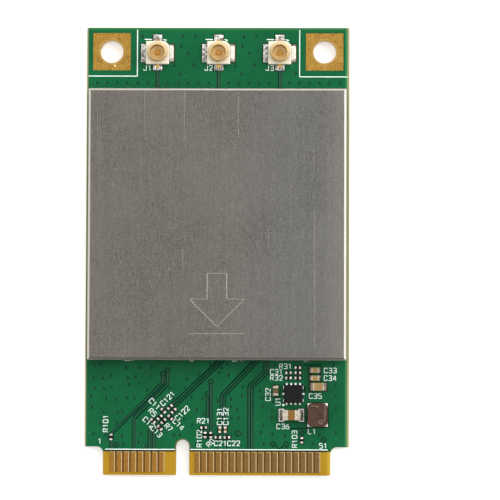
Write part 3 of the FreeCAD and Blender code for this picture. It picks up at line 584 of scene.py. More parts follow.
BOARD_MASK = masked_board()
TRACE_MASK = mask_over("trace_mask", (14, 84, 50), (26, 95, 60), 0.28)
GAP_MASK = mask_over("gap_mask", (3, 38, 27), (6, 46, 33), 0.30)
BAND_MASK = mask_over("band_mask", (8, 62, 40), (12, 70, 46), 0.30)
VIA_PIT = mask_over("via_pit", (3, 34, 24), (6, 42, 29), 0.40)
VIA_HALO = mask_over("via_halo", (4, 74, 44), (7, 82, 50), 0.35)
VIA_GLINT = mask_over("via_glint", (52, 116, 82), (84, 142, 108), 0.30)
# Mask openings, made dark enough to serve as painted shade round the parts.
MASK_OPENING_AND_SHADE = mask_over("mask_opening", (8, 24, 16), (16, 40, 28), 0.50)
UPPER_GOLD = contact_gold("upper_contact_gold", CONTACT_LOW.x)
LOWER_GOLD = contact_gold("lower_contact_gold", LOWER_CONTACT_LOW.x)
LAND_GOLD = land_gold()
COVER_STEEL = cover_steel()
FRAME_STEEL = sheet_metal("frame_steel", (150, 146, 140), (190, 186, 178), 0.30)
CRYSTAL_CAN = sheet_metal("crystal_can", (190, 188, 182), (226, 224, 218), 0.22)
CONNECTOR_GOLD = sheet_metal("connector_gold", (194, 161, 104), (220, 188, 133), 0.22, 0.5)
PIN_GOLD = pin_gold((226, 166, 72), (252, 208, 120))
TIN = solder_metal("tinned_end", (216, 213, 206), (250, 248, 243), 0.22, 0.35, 0.25)
DULL_TIN = solder_metal("dull_tinned_end", (108, 104, 86), (140, 135, 114), 0.30, 0.35, 0.3)
SMALL_TIN = solder_metal("small_tinned_end", (206, 197, 188), (252, 245, 238), 0.22, 0.35, 0.4)
BRIGHT_SOLDER = solder_metal("bright_solder", (234, 233, 229), (254, 253, 250), 0.25, 0.2, 0.1)
# Tinned plating, which also makes the painted highlight strips at the inner edges of the larger capacitors'
# ends.
PLATING_AND_HIGHLIGHT = solder_metal("plating_edge", (170, 162, 142), (206, 198, 178), 0.30, 0.35, 0.1)
FLUXED_SOLDER = solder_metal("fluxed_solder", (24, 23, 19), (150, 146, 134), 0.18, 0.5, 0.6)
SOLDER = solder_metal("solder", (100, 96, 88), (246, 245, 241), 0.16, 0.7, 0.5)
MOULDING = receptacle_moulding((200, 184, 152), (214, 200, 172), (182, 164, 134))
CHIP_BLACK = fired_body("chip_moulding", (12, 12, 13), (19, 19, 20), 0.45, (52, 52, 52))
TAN_CERAMIC = fired_body("tan_ceramic", (144, 118, 72), (160, 133, 84), 0.35, (116, 90, 50))
BROWN_CERAMIC = fired_body("brown_ceramic", (90, 72, 48), (106, 86, 60), 0.35, (74, 58, 38))
ORANGE_CERAMIC = fired_body("fired_orange", (118, 83, 39), (134, 97, 49), 0.4, (96, 64, 28))
SMALL_CERAMIC = small_ceramic((34, 27, 22), (54, 43, 34), (84, 68, 54))
RESISTOR_GLAZE = fired_body("resistor_glaze", (12, 11, 12), (24, 21, 21), 0.3, (54, 48, 46))
FERRITE = fired_body("ferrite", (63, 44, 32), (79, 58, 44), 0.55, (102, 80, 66))
CORE_MARK = fired_body("core_mark", (120, 102, 90), (138, 120, 106), 0.5, (96, 80, 68))
PAD_RUBBER = fired_body("pad_rubber", (150, 156, 166), (172, 178, 186), 0.7, (99, 99, 99))
FILTER_BODY = fired_body("filter_body", (196, 194, 186), (220, 218, 210), 0.4, (99, 96, 90))
WINDING = enamelled_wire()
INK = print_ink()
ETCH = sheet_metal("etched_line", (158, 151, 138), (178, 171, 158), 0.5)
HAIR = sheet_metal("hair_scratch", (124, 120, 114), (156, 152, 146), 0.4)
BRIGHT_SCRATCH = sheet_metal("bright_scratch", (226, 204, 150), (244, 228, 184), 0.35)

FINISH_OF_SLOT = {
    "board": BOARD_MASK,
    "cover_sheet": COVER_STEEL,
    "frame_sheet": FRAME_STEEL,
    "connector_moulding": MOULDING,
    "connector_gold": CONNECTOR_GOLD,
    "chip_moulding": CHIP_BLACK,
    "tinned_metal": TIN,
    "tan_ceramic": TAN_CERAMIC,
    "orange_ceramic": ORANGE_CERAMIC,
    "resistor_glaze": RESISTOR_GLAZE,
    "ferrite": FERRITE,
    "winding_wire": WINDING,
    "thermal_rubber": PAD_RUBBER,
    "filter_ceramic": FILTER_BODY,
    "crystal_can": CRYSTAL_CAN,
}
FINISH_OF_NODE = {
    "edge_contacts_top": UPPER_GOLD,
    "edge_contacts_bottom": LOWER_GOLD,
    "mounting_land_left": LAND_GOLD,
    "mounting_land_right": LAND_GOLD,
    "signal_capacitor_bodies": SMALL_CERAMIC,
    "bypass_capacitor_body": BROWN_CERAMIC,
    "output_capacitor_caps": PLATING_AND_HIGHLIGHT,
    "input_capacitor_caps": DULL_TIN,
    "bypass_capacitor_caps": PLATING_AND_HIGHLIGHT,
    "signal_capacitor_caps": SMALL_TIN,
    "signal_resistor_caps": SMALL_TIN,
    "filter_capacitor_1_caps": DULL_TIN,
    "filter_capacitor_2_caps": DULL_TIN,
    "coax_pin_1": PIN_GOLD,
    "coax_pin_2": PIN_GOLD,
    "coax_pin_3": PIN_GOLD,
}


def finish_cad_nodes():
    """Gives every CAD node its own finish, or else the finish of its material slot."""
    for name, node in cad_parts.items():
        for slot in node.material_slots:
            slot.material = FINISH_OF_NODE.get(name) or FINISH_OF_SLOT[slot.material.name]


# Geometry trees for what repeats or follows a path


def shape_tree(name, numbers):
    """An empty geometry tree with a source, named number inputs, a finish and one result."""
    tree = bpy.data.node_groups.new(name, "GeometryNodeTree")
    face = tree.interface
    face.new_socket("Source", in_out="INPUT", socket_type="NodeSocketGeometry")
    for label, value in numbers.items():
        kind = "NodeSocketInt" if isinstance(value, int) else "NodeSocketFloat"
        face.new_socket(label, in_out="INPUT", socket_type=kind).default_value = value
    face.new_socket("Finish", in_out="INPUT", socket_type="NodeSocketMaterial")
    face.new_socket("Result", in_out="OUTPUT", socket_type="NodeSocketGeometry")
    start = tree.nodes.new("NodeGroupInput").outputs
    end = tree.nodes.new("NodeGroupOutput").inputs
    return tree, start, end


def close_tree(tree, shape, finish, end):
    """Makes the instances real, gives them their finish and ends the tree."""
    real = put(tree, "GeometryNodeRealizeInstances", {0: shape})
    coated = put(tree, "GeometryNodeSetMaterial", {"Geometry": real.outputs[0], "Material": finish})
    tree.links.new(coated.outputs[0], end[0])


def strip_tree():
    """A flat strip along each path, with its bends rounded."""
    tree, start, end = shape_tree("flat_strip", {"Width": 0.0002, "Thickness": 0.00002, "Bend": 0.0001})
    path = put(tree, "GeometryNodeMeshToCurve", {"Mesh": start["Source"]})
    inputs = {"Curve": path.outputs[0], "Count": 4, "Radius": start["Bend"], "Limit Radius": True}
    rounded = put(tree, "GeometryNodeFilletCurve", inputs, mode="POLY")
    level = put(tree, "GeometryNodeSetCurveNormal", {"Curve": rounded.outputs[0]}, mode="Z_UP")
    inputs = {"Width": start["Width"], "Height": start["Thickness"]}
    section = put(tree, "GeometryNodeCurvePrimitiveQuadrilateral", inputs)
    inputs = {"Curve": level.outputs[0], "Profile Curve": section.outputs[0], "Fill Caps": True}
    swept = put(tree, "GeometryNodeCurveToMesh", inputs)
    close_tree(tree, swept.outputs[0], start["Finish"], end)
    return tree


def scatter_tree(name, numbers, add_shape):
    """A unit shape set on every point, at the point's own size and turn."""
    tree, start, end = shape_tree(name, numbers)
    size = put(tree, "GeometryNodeInputNamedAttribute", {"Name": "size"}, data_type="FLOAT_VECTOR")
    turn = put(tree, "GeometryNodeInputNamedAttribute", {"Name": "turn"}, data_type="FLOAT")
    about = put(tree, "ShaderNodeCombineXYZ", {2: turn.outputs[0]})
    inputs = {
        "Points": start["Source"],
        "Instance": add_shape(tree, start),
        "Rotation": about.outputs[0],
        "Scale": size.outputs[0],
    }
    spread = put(tree, "GeometryNodeInstanceOnPoints", inputs)
    close_tree(tree, spread.outputs[0], start["Finish"], end)
    return tree


def pillow_shape(tree, start):
    """A low cushion of solder on a land, with rounded edges."""
    block = put(tree, "GeometryNodeMeshCube")
    inputs = {"Mesh": block.outputs[0], "Level": start["Rounding"], "Edge Crease": start["Crease"]}
    soft = put(tree, "GeometryNodeSubdivisionSurface", inputs)
    return put(tree, "GeometryNodeSetShadeSmooth", {"Geometry": soft.outputs[0]}).outputs[0]


def plate_shape(tree, start):
    """A flat plated land, which takes no number of its own from the start of the tree."""
    return put(tree, "GeometryNodeMeshCube").outputs[0]


def collar_shape(tree, start):
    """A low round collar, narrower at the top."""
    inputs = {
        "Vertices": start["Sides"],
        "Radius Top": start["Top"],
        "Radius Bottom": 1.0,
        "Depth": 1.0,
    }
    return put(tree, "GeometryNodeMeshCone", inputs).outputs[0]


STRIP = strip_tree()
PILLOWS = scatter_tree("solder_pillows", {"Rounding": 2, "Crease": 0.6}, pillow_shape)
PLATES = scatter_tree("plated_lands", {}, plate_shape)
COLLARS = scatter_tree("via_collars", {"Sides": 14, "Top": 0.75}, collar_shape)
SMALL_BEND = 0.05


def make_piece(name, source, tree, slot, **values):
    """Turns what a tree makes from a source mesh into a plain piece of the card."""
    carrier = bpy.data.objects.new(name, source)
    bpy.context.scene.collection.objects.link(carrier)
    modifier = carrier.modifiers.new("Shape", "NODES")
    modifier.node_group = tree
    for socket in tree.interface.items_tree:
        if socket.in_out == "INPUT" and socket.name in values:
            modifier[socket.identifier] = values[socket.name]
    graph = bpy.context.evaluated_depsgraph_get()
    mesh = bpy.data.meshes.new_from_object(carrier.evaluated_get(graph), depsgraph=graph)
    carrier.modifiers.remove(modifier)
    carrier.data = mesh
    mesh.name = name
    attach(carrier, "root")


def path_source(paths, height):
    """A mesh of bare edges along paths in millimetres, at one height. A closed path ends where it starts."""
    points = []
    edges = []
    for path in paths:
        closed = path[0] == path[-1]
        line = path[:-1] if closed else path
        first = len(points)
        points.extend(Vector((x, y, height)) * MM for x, y in line)
        edges.extend((first + step, first + step + 1) for step in range(len(line) - 1))
        if closed:
            edges.append((first + len(line) - 1, first))
    mesh = bpy.data.meshes.new("paths")
    mesh.from_pydata(points, edges, [])
    return mesh


def spot_source(spots):
    """A mesh of bare points in millimetres. A spot is (middle, size, turn in degrees)."""
    mesh = bpy.data.meshes.new("spots")
    mesh.from_pydata([Vector(middle) * MM for middle, size, turn in spots], [], [])
    sizes = mesh.attributes.new("size", "FLOAT_VECTOR", "POINT")
    for item, (middle, size, turn) in zip(sizes.data, spots):
        item.vector = Vector(size) * MM
    turns = mesh.attributes.new("turn", "FLOAT", "POINT")
    for item, (middle, size, turn) in zip(turns.data, spots):
        item.value = math.radians(turn)
    return mesh


def strips(name, paths, height, width, proud, finish, slot, bend=SMALL_BEND):
    """Flat strips along paths, half sunk in what carries them."""
    sizes = {"Width": width * MM, "Thickness": 2 * proud * MM, "Bend": bend * MM}
    make_piece(name, path_source(paths, height), STRIP, slot, Finish=finish, **sizes)


def on_board(x, y, width, depth, height, turn=0.0):
    """A spot on the board's top face, with the size of what is set there."""
    return (x, y, BOARD_TOP), (width, depth, height), turn


def disc(x, y, radius, height):
    """A round spot on the board's top face."""
    return on_board(x, y, radius, radius, height)


def moved(points, middle):
    """Points given as offsets from a middle."""
    return [(middle.x + x, middle.y + y) for x, y in points]


# Copper lines under the mask

TRACE_WIDTH = 0.12
TRACE_PROUD = 0.010
TRACE_BEND = 0.20
PAIR_OFFSET = 0.15
GAP_MARGIN = 0.15
GAP_PROUD = 0.005
GAP_WIDTH = 0.14
BAND_PROUD = 0.003
TWIN_WIDTH = 0.46
FEED_START = 1.90
UNDER_COVER = COVER_LOW.y + 0.2
ABOVE_COVER = COVER_HIGH.y - 0.2
TAB_GAP_LINE = TAB_LINE + 0.05
SINGLE_LINES = [
    [(-6.15, -13.95), (-6.15, -14.98), (-11.95, -20.80)],
    [(-5.60, -13.57), (-5.60, -15.20), (-9.38, -19.08), (-9.38, TAB_LINE)],
    [(-11.95, -21.40), (-11.95, TAB_LINE)],
    [(-7.60, -20.20), (-7.60, TAB_LINE)],
    [(-7.12, -20.00), (-7.12, TAB_LINE)],
    [(-0.70, -14.86), (-0.66, -20.60)],
    [(-1.04, -16.22), (-1.04, -18.90)],
]
PAIRED_LINES = [
    [(0.70, UNDER_COVER), (-4.85, -17.49)],
    [(4.60, UNDER_COVER), (0.67, -16.44), (0.67, -20.00)],
    [(5.59, UNDER_COVER), (5.59, -13.70), (3.79, -15.42), (3.79, TAB_LINE)],
]
BARE_GAPS = [
    [(8.20, -19.50), (8.20, -20.10), (10.40, -20.10)],
    [(9.95, -15.30), (9.95, -16.10)],
    [(9.85, -12.95), (11.80, -12.90)],
    [(6.65, -22.00), (7.10, -22.45), (7.55, -22.00)],
    [(9.60, -20.15), (9.60, -20.60)],
    [(-12.60, TAB_GAP_LINE), (-4.72, TAB_GAP_LINE)],
    [(-2.98, TAB_GAP_LINE), (12.60, TAB_GAP_LINE)],
]
TWIN_BAND = [(-5.88, -13.80), (-5.88, -15.09), (-9.50, -18.75)]


def beside(line, offset):
    """A line that runs beside another at a fixed offset to its left."""
    shifted = []
    for index, point in enumerate(line):
        before = line[max(index - 1, 0)]
        after = line[min(index + 1, len(line) - 1)]
        ways = []
        for start, end in ((before, point), (point, after)):
            if start != end:
                ways.append((Vector(end) - Vector(start)).normalized())
        lefts = [Vector((-way.y, way.x)) for way in ways]
        middle = sum(lefts, Vector((0, 0))).normalized()
        shifted.append(tuple(Vector(point) + middle * offset / middle.dot(lefts[0])))
    return shifted


def copper_lines():
    """Lines of copper that show through the mask, each with a dark gap on both sides."""
    feeds = [[(centre.x, centre.y - FEED_START), (centre.x, ABOVE_COVER)] for centre in COAX_CENTRES]
    single = SINGLE_LINES + feeds
    paired = [beside(line, offset) for line in PAIRED_LINES for offset in (PAIR_OFFSET, -PAIR_OFFSET)]
    wide = TRACE_WIDTH + 2 * GAP_MARGIN
    runs = {
        "trace_gaps": (single, wide, GAP_PROUD, GAP_MASK),
        "paired_trace_gaps": (PAIRED_LINES, wide + 2 * PAIR_OFFSET, GAP_PROUD, GAP_MASK),
        "copper_free_bands": (BARE_GAPS, GAP_WIDTH, BAND_PROUD, GAP_MASK),
        "twin_line_band": ([TWIN_BAND], TWIN_WIDTH, BAND_PROUD, BAND_MASK),
        "copper_traces": (single + paired, TRACE_WIDTH, TRACE_PROUD, TRACE_MASK),
    }
    for name, (lines, width, proud, finish) in runs.items():
        strips(name, lines, BOARD_TOP, width, proud, finish, "board", TRACE_BEND)
    return single + paired


# Vias

VIA_RADIUS = 0.12
VIA_CLEARANCE = 0.40
VIA_EDGE_CLEARANCE = 0.50
VIA_SPACING = 1.30
VIA_STRAY = (0.2, 0.9)
VIA_ROW_STEP = 1.15
VIA_ROW_RISE = 0.80
UNDER_PROUD = 0.003
HALO_RADIUS = 0.26
GLINT_WIDTH = 0.045
GLINT_LENGTH = 1.5 * GLINT_WIDTH
GLINT_SHIFT = Vector((-0.15, 0.02))
RING_RADIUS = 0.22
RING_GAP = 0.12
RING_HOLE_RADIUS = 0.11
RING_HOLE_PROUD = 0.004
RINGED_VIAS = [
    (-6.15, -13.95),
    (-5.60, -13.57),
    (-0.70, -14.86),
    (-1.04, -16.22),
    (-11.33, -22.01),
    (2.36, -20.67),
    (6.37, -21.86),
    (7.83, -21.86),
    (9.60, -20.60),
    (12.06, -21.35),
]
VIAS_BETWEEN_RECEPTACLES = [
    (-0.64, 1.90),
    (0.78, 1.90),
    (-0.83, 0.80),
    (0.00, 0.00),
    (0.59, -1.33),
    (-1.60, -1.42),
    (-0.93, -2.37),
]
VIA_BESIDE_FIRST = (-1.75, 1.90)
VIA_BESIDE_LAST = (1.80, -2.30)


def clear_of_lines(x, y, lines):
    """Whether a place keeps clear of paths of straight runs."""
    spot = Vector((x, y))
    for line in lines:
        for start, end in zip(line, line[1:]):
            run = Vector(end) - Vector(start)
            share = max(0.0, min(1.0, (spot - Vector(start)).dot(run) / run.length_squared))
            if (spot - Vector(start) - run * share).length <= VIA_CLEARANCE:
                return False
    return True


def clear_of_boxes(x, y, boxes):
    """Whether a place keeps clear of boxes."""
    for low, high in boxes:
        within = low.x - VIA_CLEARANCE < x < high.x + VIA_CLEARANCE
        if within and low.y - VIA_CLEARANCE < y < high.y + VIA_CLEARANCE:
            return False
    return True


def stitching_places(lines):
    """Scattered places for ground vias below the shield, clear of parts, copper lines and edges."""
    chance = random.Random(SEED)
    key_left, key_right = CONTACT_RUNS[0][1], CONTACT_RUNS[1][0]
    taken = [corners(node) for node in ("shield_cover", "regulator_chip", "power_inductor_core", *LARGE_ENDS)]
    rows = int((COVER_LOW.y - TAB_LINE) / VIA_SPACING) + 1
    columns = int((BOARD_HIGH.x - BOARD_LOW.x) / VIA_SPACING)
    places = []
    for row in range(rows):
        for column in range(columns):
            x = BOARD_LOW.x + (column + chance.uniform(*VIA_STRAY)) * VIA_SPACING
            y = TAB_LINE + (row + chance.uniform(*VIA_STRAY)) * VIA_SPACING
            inside = abs(x) < BOARD_HIGH.x - VIA_EDGE_CLEARANCE
            if y < KEY_TOP + VIA_EDGE_CLEARANCE:
                inside = abs(x) < CONTACT_HIGH.x and not key_left < x < key_right
            if inside and clear_of_boxes(x, y, taken) and clear_of_lines(x, y, lines):
                places.append((x, y))
    return places


def upper_places():
    """Ground vias between the receptacles and just beside the outer two."""
    first, second, last = COAX_CENTRES
    places = moved([VIA_BESIDE_FIRST], first) + moved([VIA_BESIDE_LAST], last)
    for left, right in ((first, second), (second, last)):
        places.extend(moved(VIAS_BETWEEN_RECEPTACLES, (left + right) / 2))
    return places


def row_places(lines):
    """A row of ground vias just above the shield, broken where the copper lines pass."""
    count = int((BOARD_HIGH.x - BOARD_LOW.x) / VIA_ROW_STEP)
    height = COVER_HIGH.y + VIA_ROW_RISE
    row = [((step - (count - 1) / 2) * VIA_ROW_STEP, height) for step in range(count)]
    return [(x, y) for x, y in row if clear_of_lines(x, y, lines)]


def vias(lines):
    """Small masked ground vias on both faces, and larger ringed ones at the ends of copper lines."""
    ground = stitching_places(lines) + upper_places() + row_places(lines)
    under = BOARD_UNDER - UNDER_PROUD
    pits = [disc(x, y, VIA_RADIUS, 2 * GAP_PROUD) for x, y in ground]
    pits.extend(((x, y, under), (VIA_RADIUS, VIA_RADIUS, 2 * UNDER_PROUD), 0.0) for x, y in ground)
    pits.extend(disc(x, y, RING_HOLE_RADIUS, 2 * TRACE_PROUD + RING_HOLE_PROUD) for x, y in RINGED_VIAS)
    halos = [disc(x, y, HALO_RADIUS, GAP_PROUD) for x, y in ground]
    glint = (GLINT_WIDTH, GLINT_LENGTH, 2 * TRACE_PROUD)
    glints = [on_board(x, y, *glint) for x, y in moved(ground, GLINT_SHIFT)]
    gaps = [disc(x, y, RING_RADIUS + RING_GAP, 2 * GAP_PROUD) for x, y in RINGED_VIAS]
    rings = [disc(x, y, RING_RADIUS, 2 * TRACE_PROUD) for x, y in RINGED_VIAS]
    layers = {
        "via_gaps": (gaps, GAP_MASK),
        "via_rings": (rings, TRACE_MASK),
        "via_pits": (pits, VIA_PIT),
        "via_halos": (halos, VIA_HALO),
        "via_glints": (glints, VIA_GLINT),
    }
    for name, (spots, finish) in layers.items():
        make_piece(name, spot_source(spots), COLLARS, "board", Finish=finish)


# White print

INK_WIDTH = 0.077
INK_PROUD = 0.016
LINE_WIDTH = 0.108
LETTER_HEIGHT = 0.54
LETTER_WIDTH = 0.34
LETTER_STEP = 0.51
RECEPTACLE_MARK = Vector((-1.15, -1.70))
BAR_GAP = 0.10
BAR_START = 0.08
BAR_END = 0.46
DOT_RADIUS = 0.13
DOT_HEIGHT = 0.02
DOT_SHIFT = (-0.12, -0.25)
KEEP_OUT_CORNERS = [
    [(-9.20, 25.15), (-9.20, 19.85), (-14.75, 19.85)],
    [(9.25, 25.15), (9.25, 19.80), (14.70, 19.80)],
]
RECEPTACLE_TICKS = [
    [(-1.48, 1.56), (-0.66, 1.54)],
    [(0.66, 1.54), (1.04, 1.44)],
]
TAB_PRINT_LINE = TAB_LINE + 0.19
TAB_PRINT = [
    [(-12.60, TAB_PRINT_LINE), (-4.72, TAB_PRINT_LINE)],
    [(-2.98, TAB_PRINT_LINE), (12.55, TAB_PRINT_LINE)],
]
GLYPH_HEIGHT = 4
GLYPH_WIDTH = 2
GLYPHS = {
    "0": [[(0, 0), (2, 0), (2, 4), (0, 4), (0, 0)]],
    "1": [[(0.2, 3.1), (1.1, 4)], [(1.1, 4.1), (1.1, 0)]],
    "2": [[(0, 3), (0, 4), (2, 4), (2, 2.5), (0.1, 0.2)], [(0, 0), (2, 0)]],
    "3": [[(0, 4), (2, 4), (2, 0), (0, 0)], [(0.5, 2), (2, 2)]],
    "4": [[(1.5, 0), (1.5, 4)], [(1.3, 4), (0, 1.2)], [(0, 1.1), (2.2, 1.1)]],
    "5": [[(2, 4), (0, 4), (0, 2.3), (2, 2.3), (2, 0), (0, 0)]],
    "6": [[(1.8, 4), (0, 2.4), (0, 0), (2, 0), (2, 2.2), (0, 2.2)]],
    "7": [[(0, 4), (2, 4)], [(1.9, 4), (0.7, 0)]],
    "8": [
        [(0, 0), (2, 0), (2, 2.1), (0, 2.1), (0, 0)],
        [(0.1, 2.1), (1.9, 2.1), (1.9, 4), (0.1, 4), (0.1, 2.1)],
    ],
    "C": [[(2, 3.1), (2, 4), (0, 4), (0, 0), (2, 0), (2, 0.9)]],
    "J": [[(1.8, 4), (1.8, 0), (0, 0), (0, 1)]],
    "L": [[(0, 4), (0, 0), (2, 0)]],
    "R": [[(0, 0), (0, 4), (2, 4), (2, 2), (0, 2)], [(0.9, 2), (2, 0)]],
    "U": [[(0, 4), (0, 0), (2, 0), (2, 4)]],
}
MARKS = [
    ("R101", -12.58, -19.61, 90),
    ("1", -13.22, -21.60, 0),
    ("51", 12.02, -22.04, 0),
    ("C121", -5.58, -16.76, 45),
    ("C122", -3.90, -18.42, 45),
    ("C11", -7.05, -17.39, -45),
    ("R5", -7.27, -18.34, -45),
    ("C12", -7.72, -19.48, -45),
    ("C13", -6.81, -20.49, -45),
    ("R7", -5.45, -20.03, -45),
    ("C14", -4.32, -19.69, -45),
    ("R21", -1.52, -19.27, 0),
    ("R102", -1.97, -21.28, 90),
    ("C131", 0.32, -18.76, 90),
    ("C132", 1.01, -18.76, 90),
    ("R8", -0.71, -21.75, 45),
    ("C21", 0.42, -21.80, 0),
    ("C22", 1.91, -21.80, 0),
    ("R31", 7.75, -13.08, 0),
    ("C31", 6.72, -13.71, 0),
    ("R32", 6.72, -14.39, 0),
    ("C32", 5.79, -16.27, 90),
    ("U1", 6.89, -17.05, 90),
    ("C33", 12.80, -13.54, 0),
    ("C34", 12.80, -14.40, 0),
    ("C35", 11.12, -16.43, 0),
    ("C36", 7.47, -19.87, 0),
    ("L1", 10.76, -20.42, 0),
    ("R103", 8.79, -21.30, 90),
]


def lettering(text, x, y, turn):
    """Strokes of a printed mark, centred on its place and turned about it."""
    half = ((len(text) - 1) * LETTER_STEP + LETTER_WIDTH) / 2
    spin = Matrix.Rotation(math.radians(turn), 2)
    strokes = []
    for index, letter in enumerate(text):
        for line in GLYPHS[letter]:
            points = []
            for across, up in line:
                right = across / GLYPH_WIDTH * LETTER_WIDTH + index * LETTER_STEP - half
                rise = (up / GLYPH_HEIGHT - 0.5) * LETTER_HEIGHT
                points.append(tuple(Vector((x, y)) + spin @ Vector((right, rise))))
            strokes.append(points)
    return strokes


def chip_bars():
    """Printed bars at the corners of the regulator, along its left and right sides."""
    bars = []
    for x in (CHIP_LOW.x - BAR_GAP, CHIP_HIGH.x + BAR_GAP):
        bars.append([(x, CHIP_HIGH.y - BAR_START), (x, CHIP_HIGH.y - BAR_END)])
        bars.append([(x, CHIP_LOW.y + BAR_START), (x, CHIP_LOW.y + BAR_END)])
    return bars


def white_print():
    """All the white print on the top face, and the tab line of the underside."""
    strokes = chip_bars()
    for mark in MARKS:
        strokes.extend(lettering(*mark))
    lines = KEEP_OUT_CORNERS + TAB_PRINT
    for number, centre in enumerate(COAX_CENTRES, 1):
        strokes.extend(lettering(f"J{number}", *(centre.xy + RECEPTACLE_MARK), 0))
        lines.extend(moved(tick, centre) for tick in RECEPTACLE_TICKS)
    strips("printed_marks", strokes, BOARD_TOP, INK_WIDTH, INK_PROUD, INK, "board")
    strips("printed_lines", lines, BOARD_TOP, LINE_WIDTH, INK_PROUD, INK, "board")
    strips("printed_lines_under", TAB_PRINT, BOARD_UNDER, LINE_WIDTH, UNDER_PROUD, INK, "board")
    dots = [disc(x, y, DOT_RADIUS, DOT_HEIGHT) for x, y in moved([DOT_SHIFT], CHIP_LOW)]
    make_piece("first_pin_dot", spot_source(dots), COLLARS, "board", Finish=INK)


# Solder and lands

SMALL_ENDS = ("signal_resistor_caps", "signal_capacitor_caps")
LARGE_ENDS = (
    "output_capacitor_caps",
    "input_capacitor_caps",
    "bypass_capacitor_caps",
    "filter_capacitor_1_caps",
    "filter_capacitor_2_caps",
)
LAND_THICK = 0.04
LAND_OVERHANG = 0.06
LAND_SETBACK = 0.05
LEAST_TOE = 0.05
SMALL_TOE_SHARE = 0.04
LARGE_TOE_SHARE = 0.06
FILLET_WIDTH_SHARE = 0.92
FILLET_HEIGHT_SHARE = 1.3
EDGE_WIDTH = 0.10
EDGE_PROUD = 0.006
EDGE_INSET = 0.04
OPENING_MARGIN = 0.20
OPENING_THICK = 0.008
SMALL_OPENING = (0.50, 0.52)
SMALL_OPENING_SETBACK = 0.10

# Solder and lands round a receptacle, as offsets and sizes
TAIL_LANDS = [
    (-1.57, 0.00, 0.62, 2.06, LAND_THICK),
    (0.00, 1.68, 1.03, 0.84, LAND_THICK),
    (0.00, -1.62, 1.05, 0.72, LAND_THICK),
]
TAIL_SOLDER = [
    (-1.57, 0.00, 0.56, 1.94, 0.34),
    (-0.38, 1.70, 0.26, 0.76, 0.30),
    (0.38, 1.70, 0.26, 0.76, 0.30),
    (0.00, 1.78, 0.66, 0.50, 0.36),
    (-0.36, -1.64, 0.32, 0.64, 0.30),
    (0.36, -1.64, 0.32, 0.64, 0.30),
    (0.00, -1.82, 0.84, 0.28, 0.28),
]
RIGHT_TAIL_LANDS = [(1.57, 0.00, 0.62, 2.06, LAND_THICK)]
RIGHT_TAIL_SOLDER = [(1.55, 0.00, 0.46, 1.80, 0.34)]
RIGHT_TAIL_FLUX = [(1.55, 0.92, 0.50, 0.16, 0.38)]

# Solder and lands of the power parts, as sizes and distances from the edges of the parts
TERMINALS_A_ROW = 4
TERMINAL_PITCH = 0.50
TERMINAL_ROW_REACH = 0.09
TERMINAL_ROW_SOLDER = (0.23, 0.30, 0.30)
TERMINAL_SIDE_REACH = 0.11
TERMINAL_SIDE_SOLDER = (0.32, 0.21, 0.30)
CORE_CORNER_INSET = Vector((0.26, 0.28, 0))
CORE_LAND = (0.56, 0.60, LAND_THICK)
CORE_SOLDER = (0.50, 0.54, 0.60)
OUTPUT_REACH = 0.10
OUTPUT_LAND = (0.66, 1.46, LAND_THICK)
OUTPUT_SOLDER = (0.48, 1.22, 0.44)

# Solder under the shield's lower wall, as places and half lengths
FOOT_SOLDER = ((-10.08, 0.42), (-9.55, 0.10), (-2.87, 0.24), (1.98, 0.30), (2.75, 0.12), (10.05, 0.40))
FOOT_REACH = 0.02
FOOT_DEPTH = 0.18
FOOT_HEIGHT = 0.40


def left_of(way):
    """The direction square to another, on its left."""
    return Vector((-way.y, way.x, 0))


def bearing(way):
    """The turn of a direction, in degrees."""
    return math.degrees(math.atan2(way.y, way.x))


def chip_ends(node):
    """The ends of the chip parts in a node, as (points, outward way) in millimetres."""
    ends = separate_solids(node)
    centres = [sum(points, Vector()) / len(points) for points in ends]
    found = []
    for index, points in enumerate(ends):
        others = [centre for other, centre in enumerate(centres) if other != index]
        partner = min(others, key=lambda centre: (centre - centres[index]).length)
        outward = centres[index] - partner
        outward.z = 0
        found.append((points, outward.normalized()))
    return found


def chip_fillets(nodes, toe_share):
    """A fillet of solder and its land at each end of every chip part."""
    fillets = []
    lands = []
    for node in nodes:
        for points, outward in chip_ends(node):
            across = left_of(outward)
            left, right = reach(points, across)
            width = right - left
            toe = LEAST_TOE + toe_share * width
            turn = bearing(outward)
            middle = across * (left + right) / 2 + outward * reach(points, outward)[1]
            height = FILLET_HEIGHT_SHARE * (max(point.z for point in points) - BOARD_TOP)
            fillets.append(on_board(*middle.xy, 2 * toe, FILLET_WIDTH_SHARE * width, height, turn))
            flat = middle + outward * (toe / 2 - LAND_SETBACK)
            lands.append(on_board(*flat.xy, 2 * toe, width + LAND_OVERHANG, LAND_THICK, turn))
    return fillets, lands


def painted_plating_highlights():
    """Bright strips where the ends of the larger capacitors meet their bodies: painted highlights along the
    edges of the plating.
    """
    for node in LARGE_ENDS:
        paths = []
        for points, outward in chip_ends(node):
            across = left_of(outward)
            start = outward * (reach(points, outward)[0] + EDGE_WIDTH / 2)
            left, right = reach(points, across)
            sides = (start + across * (left + EDGE_INSET), start + across * (right - EDGE_INSET))
            paths.append([tuple(side.xy) for side in sides])
        top = corners(node)[1].z
        strips(f"{node}_edges", paths, top, EDGE_WIDTH, EDGE_PROUD, PLATING_AND_HIGHLIGHT, "tinned_metal")


def round_receptacles(fillets, lands):
    """Solder and lands at the same offsets from the middle of each receptacle."""
    made = []
    for spots in (fillets, lands):
        made.append([on_board(at.x + x, at.y + y, *size) for at in COAX_CENTRES for x, y, *size in spots])
    return made


